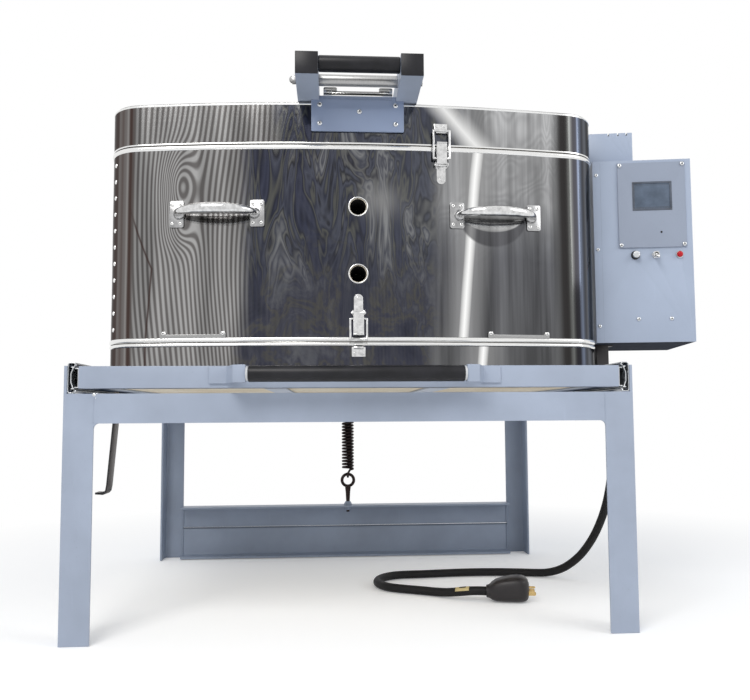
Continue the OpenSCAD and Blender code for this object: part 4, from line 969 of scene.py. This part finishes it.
# ---------- spring ----------
def spring():
    eye = P(2, 775, 0)
    low, high, r, pitch, a_turn = 212.75, 496.55, 13.9, 8.2, 14
    # hook in the eye bolt, coils with a_turn points to a turn, hook in the lug
    pts = []
    for i in range(9):
        a = math.radians(-75 + 150 * i / 8)
        pts.append(Vector((0, -r * math.sin(a), low + r * (1 - math.cos(a)))))
    z0, z1 = low + r + 6, high - 2 * r - 2
    turns = math.floor((z1 - z0) / pitch) - 0.25
    n = int(turns * a_turn)
    for i in range(1, n + 1):
        a = 2 * math.pi * turns * i / n
        pts.append(Vector((r * math.sin(a), -r * math.cos(a), z0 + (z1 - z0) * i / n)))
    for i in range(14):
        a = math.radians(216 * i / 13)
        pts.append(Vector((-r * math.cos(a), 0, high - r * (1 - math.sin(a)))))
    pts = [eye + p / 1000 for p in pts]
    me = shape([sweep(pts, 0.0031, 8)], False)
    ob = add("spring_coil", me, "stand", "spring_steel", "spring_steel", 80, ["counterbalance_spring"])
    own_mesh(ob)
    # eye bolt: a forged ring on a tapering shank, with its nut below the crossbar
    ring = [eye + Vector((16 * math.cos(a), 0, 204 + 16 * math.sin(a))) / 1000 for a in steps(18, 0, 36)]
    shank = [(0.1185, 0.0042), (0.137, 0.0042), (0.150, 0.0052), (0.170, 0.0062), (0.184, 0.0078), (0.190, 0.0070)]
    add("eye_bolt", shape([sweep(ring, 0.0041, 12, True), turned(shank, eye, UP, 18)], False), "stand",
        "spring_steel", "spring_steel", 60, ["spring_eye_bolt"])
    cone = turned([(0.1372, 0.0112), (0.1385, 0.0114), (0.143, 0.0092), (0.147, 0.0066)], eye, UP, 20)
    nut = turned([(0.1238, 0.0066), (0.1245, 0.0074), (0.1312, 0.0074), (0.1318, 0.0070)], eye, UP, 6)
    add("eye_bolt_base", shape([cone, nut], False), "stand", "shade_paint", "spring_steel", 50)


# ---------- control box ----------
# the box's own millimetres start at its front left lower corner, and it is turned a little towards the operator
TURN = math.radians(9)
BX, BY, BZ = 482.0, 141.0, 520.3
EX, EY = Vector((math.cos(TURN), -math.sin(TURN), 0)), Vector((math.sin(TURN), math.cos(TURN), 0))


def in_box(x, y, z):
    return P(BX, BY, BZ) + (EX * x + EY * y + Vector((0, 0, z))) / 1000


def box_plate(x0, x1, z0, z1, y, t, r=0.0):
    """A plate facing the operator, from y towards the front by t."""
    w, h = (x1 - x0) / 2, (z1 - z0) / 2
    prof = rounded(w, h, r) if r else [(-w, -h), (w, -h), (w, h), (-w, h)]
    return prism(mm(prof), in_box((x0 + x1) / 2, y, (z0 + z1) / 2), EX, UP, -EY, t / 1000)


def control():
    def on_box(name, parts, mat, slot, bevel=None, weld=True, angle=38, nodes=()):
        me = shape(parts, weld)
        add(name, bevelled(me, *bevel, 40) if bevel else me, "stand", mat, slot, angle, nodes)

    cad_part("control_box", 0.0011, 3, angle=20)
    cad_part("control_box_top_cover", 0.001, 2)
    # a dark sheet on the box's underside: painted shade
    pan = mm([(2.2, 3), (187.8, 3), (187.8, 197), (2.2, 197)])
    on_box("box_underside", [prism(pan, in_box(0, 0, -0.4), EX, EY, UP, 0.0003)], "primer", "box_paint", (0.0001, 1))
    cad_part("controller_panel", 0.0004, 2, "panel_face", 20)
    px, top = 48, 359
    sx, sz, sw, sh = px + 31, top - 42 - 52, 70, 52
    # screen: a thin bevelled surround, glass just inside it and two dark lines on the glass
    x0, x1, x2, x3 = sx - 3, sx + 1, sx + sw - 1, sx + sw + 3
    z0, z1, z2, z3 = sz - 3, sz + 1, sz + sh - 1, sz + sh + 3
    bars = [box_plate(*q, -3, 0.9) for q in ((x0, x3, z2, z3), (x0, x3, z0, z1), (x0, x1, z1, z2), (x2, x3, z1, z2))]
    on_box("screen_surround", bars, "screen_bezel", "panel_face", (0.0003, 2), False)
    glass = box_plate(sx + 0.5, sx + sw - 0.5, sz + 0.5, sz + sh - 0.5, -2.3, 0.5, 1.5)
    on_box("screen_glass", [glass], "screen_glass", "panel_face", (0.0002, 2))
    lines = [box_plate(sx + 3, sx + sw - 3, sz + a, sz + b, -2.78, 0.06) for a, b in ((2.5, 4), (47.6, 48.4))]
    on_box("screen_border", lines, "screen_bezel", "panel_face", weld=False)
    # a dark disc of painted shade for a small hole in the panel
    dot = turned([(0, 0.0021), (0.0006, 0.0019)], in_box(px + 82, -2.95, top - 141), -EY, 16)
    on_box("panel_hole", [dot], "hole_black", "panel_face")
    # screws: the panel's corners, the box's top edge, its left seam and its foot
    spots = [(in_box(px + x, -3, top - z), -EY, 0.0044, 0.0030) for x in (4, 125) for z in (5, 166)]
    spots += [(in_box(x, 12, 365), Vector((0, 0, 1)), 0.0036, 0.0020) for x in (103, 138, 160, 180)]
    spots += [(in_box(7, 0, z), -EY, 0.0036, 0.0018) for z in (33, 186, 337)]
    spots += [(in_box(x, 0, 46), -EY, 0.0040, 0.0020) for x in (82, 145)]
    screws("box_screw_heads", "stand", spots, "zinc", "zinc", ["stand_fasteners"])
    screws("slide_screw_heads", "stand", [(P(s * (490 - 1.6), y, 447.3 + dz), (-s, 0, 0), 0.0034, 0.0018)
                                          for s in (-1, 1) for y in (54, 246, 438, 630) for dz in (-5, 5)])
    # the seam where the front panel meets the left side
    on_box("box_seams", [box_plate(14.5, 15.0, 3, 362, -0.02, 0.06)], "shade_paint", "box_paint", weld=False)
    # devices: switch, fuse and lamp
    device_z, lens_r = 173, 0.0060
    cad_part("toggle_switch", 0.0005, 2, "latch_chrome", 40)
    cad_part("toggle_lever", 0.0002, 1, "latch_chrome", 50)
    cad_part("fuse_cap", 0.0006, 2, "zinc", 40)
    fuse = [(0, 0.006), (0, 0.0085), (0.0028, 0.0085), (0.004, 0.0073), (0.004, 0.0052), (-0.02, 0.0052)]
    on_box("fuse_body", [turned(fuse, in_box(79, 0, device_z), -EY, 28, False)], "black_plastic", "black_plastic",
           nodes=["fuse_holder"])
    lamp = in_box(164, 0, device_z)
    lens = [(0.0, lens_r), (0.003, lens_r)]
    lens += [(0.003 + 0.0042 * math.sin(a), lens_r * math.cos(a)) for a in steps(16, 1, 8)]
    on_box("lamp_lens", [turned(lens, lamp, -EY, 28)], "red_lens", "black_plastic", angle=70)
    collar = [(0, lens_r), (0, 0.0074), (0.0018, 0.0074), (0.0024, 0.0068), (0.0024, lens_r)]
    on_box("lamp_collar", [turned(collar, lamp, -EY, 28, False)], "zinc", "black_plastic")
    cad_part("box_electrics", 0.001, 2, "contactor")


# ---------- cord ----------
CORD_R = 0.009
# its line in the stand's millimetres, from the box down behind the leg and along the floor to the plug
CORD = [
    (548, 301, 480), (548, 301, 450), (554, 306, 412), (565, 313, 372), (576, 323, 330), (582, 338, 285),
    (582, 357, 235), (578, 374, 185), (569, 390, 140), (553, 407, 95), (529, 424, 55), (498, 441, 26),
    (466, 457, 12), (432, 469, 9), (392, 478, 9), (350, 485, 9), (305, 488, 9), (260, 487, 9), (215, 483, 9),
    (172, 478, 9), (134, 476, 9), (106, 470, 9), (82, 454, 9), (66, 430, 9), (60, 402, 9), (66, 374, 9),
    (82, 350, 9), (106, 334, 9), (138, 318, 9), (170, 301, 9), (198, 282, 11), (224, 264, 16), (249, 252, 20),
    (275, 248, 20)]


def smooth(points, sub=4):
    """A smooth line through the points."""
    pts = [Vector(p) for p in points]
    out = []
    for i in range(len(pts) - 1):
        a, b = pts[max(i - 1, 0)], pts[i]
        c, d = pts[i + 1], pts[min(i + 2, len(pts) - 1)]
        for k in range(sub):
            t = k / sub
            out.append(0.5 * ((2 * b) + (c - a) * t + (2 * a - 5 * b + 4 * c - d) * t * t
                              + (3 * b - a - 3 * c + d) * t ** 3))
    out.append(pts[-1])
    return out


def wrap(line, radius, a0, a1, steps=10):
    """A thin label laid round part of the cord."""
    v, f = [], []
    for i, p in enumerate(line):
        a, b = line[max(i - 1, 0)], line[min(i + 1, len(line) - 1)]
        d = (b - a).normalized()
        side = Vector((-d.y, d.x, 0)).normalized()
        up = side.cross(d)
        if up.z < 0:
            up = -up
        for r in (radius, radius - 0.0003):
            for k in range(steps + 1):
                w = math.radians(a0 + (a1 - a0) * k / steps)
                v.append(p + (side * math.cos(w) - up * math.sin(w)) * r)
    n = steps + 1
    for i in range(len(line) - 1):
        for layer in (0, n):
            for k in range(steps):
                q = i * 2 * n + layer + k
                f.append((q, q + 1, q + 2 * n + 1, q + 2 * n))
    return v, f


def cord():
    line = smooth([P(*p) for p in CORD])
    for p in line:
        p.z = max(p.z, CORD_R)
    tube = add("cord", shape([sweep(line, CORD_R, 20)]), "stand", "cord_black", "cord_black", 80, ["power_cord"])
    # gland: a lock nut under the box and a ribbed taper that grips the cord
    prof = [(0, 0.0098), (0, 0.0130), (0.005, 0.0130), (0.006, 0.0122)]
    for i in range(6):
        d, r = 0.006 + 0.0050 * i, 0.0122 - 0.00028 * i
        prof += [(d + a, r - b) for a, b in ((0.0012, 0.0002), (0.0030, 0.0004), (0.0034, 0.0014), (0.0046, 0.0014))]
    prof += [(0.0385, 0.0100), (0.0403, 0.0094)]
    gland = add("cord_gland", shape([turned(prof, P(548, 301, BZ), (0, 0, -1), 28, False)]), "stand", "cord_black",
                "cord_black", 30, ["cord_strain_relief"])
    # plug: a moulded round-backed body with a neck, two blades and a pin
    (x0, y0, _), (x1, y1, _) = CORD[-2:]
    turn = math.atan2(y1 - y0, x1 - x0)
    ax, ay = Vector((math.cos(turn), math.sin(turn), 0)), Vector((-math.sin(turn), math.cos(turn), 0))
    at = lambda x, y, z: P(x1, y1, 0) + ax * x + ay * y + Vector((0, 0, z))
    # along the plug, middle across and up, half width, half height
    stations = [(0, 0, 20, 12.6, 12.4), (4, 0, 20, 13.4, 13.0), (7, 0, 20.3, 15.5, 14.5), (12, 0, 21, 19.0, 17.5),
                (20, 0.4, 22.5, 21.6, 21.4), (34, 1, 24.2, 24.4, 23.8), (50, 2, 25.6, 26.8, 25.4),
                (62, 2, 26, 27.6, 25.8), (72, 2, 26, 26.6, 25.4), (79, 2, 25.6, 23.4, 23.8),
                (83.5, 2, 25, 18.0, 20.0), (86, 2, 25, 10.0, 13.0)]
    sides, verts = 28, []
    for s, cy, cz, ry, rz in stations:
        e = 0.62 if s > 8 else 1.0
        for k in range(sides):
            c, q = (f(2 * math.pi * k / sides) for f in (math.cos, math.sin))
            y, z = cy + ry * math.copysign(abs(c) ** e, c), cz + rz * math.copysign(abs(q) ** e, q)
            verts.append(at(s / 1000, y / 1000, z / 1000))
    body = verts, skin(len(stations), sides) + ends(len(stations), sides)
    plug = add("plug_body", shape([body]), "stand", "plug_black", "cord_black", 60, ["power_plug"])
    blade = [(0, 0), (0.0145, 0), (0.0165, 0.0015), (0.0165, 0.0065), (0.0145, 0.008), (0, 0.008)]
    pin = [(0, 0.0024), (0.014, 0.0024), (0.016, 0.0016), (0.0165, 0.0004)]
    blades = [prism(blade, at(0.083, y, 0.014), ax, UP, ay, 0.0018) for y in (-0.011, 0.015)]
    blades.append(turned(pin, at(0.083, 0.002, 0.028), ax, 16))
    pins = add("plug_blades", bevelled(shape(blades, False), 0.0002, 2, 40), "stand", "brass", "cord_black")
    # a tag wrapped round the cord near the plug, with a plain dark mark where the photo has print
    near = [p for p in line if P(217, 270, 0).x < p.x < P(243, 250, 0).x and p.y < P(0, 300, 0).y]
    tag = add("cord_tag", shape([wrap(near, 0.00945, 196, 334)], False), "stand", "tag", "cord_black")
    mid = near[len(near) // 2 - 1:len(near) // 2 + 2]
    mark = add("cord_tag_mark", shape([wrap(mid, 0.0096, 238, 292)], False), "stand", "hole_black", "cord_black")


look()
set_stage()
make_materials()
for build in (jackets, stand, lock_lever, slides, tray, chamber_fittings, hot_parts, lift, spring, control, cord):
    build()
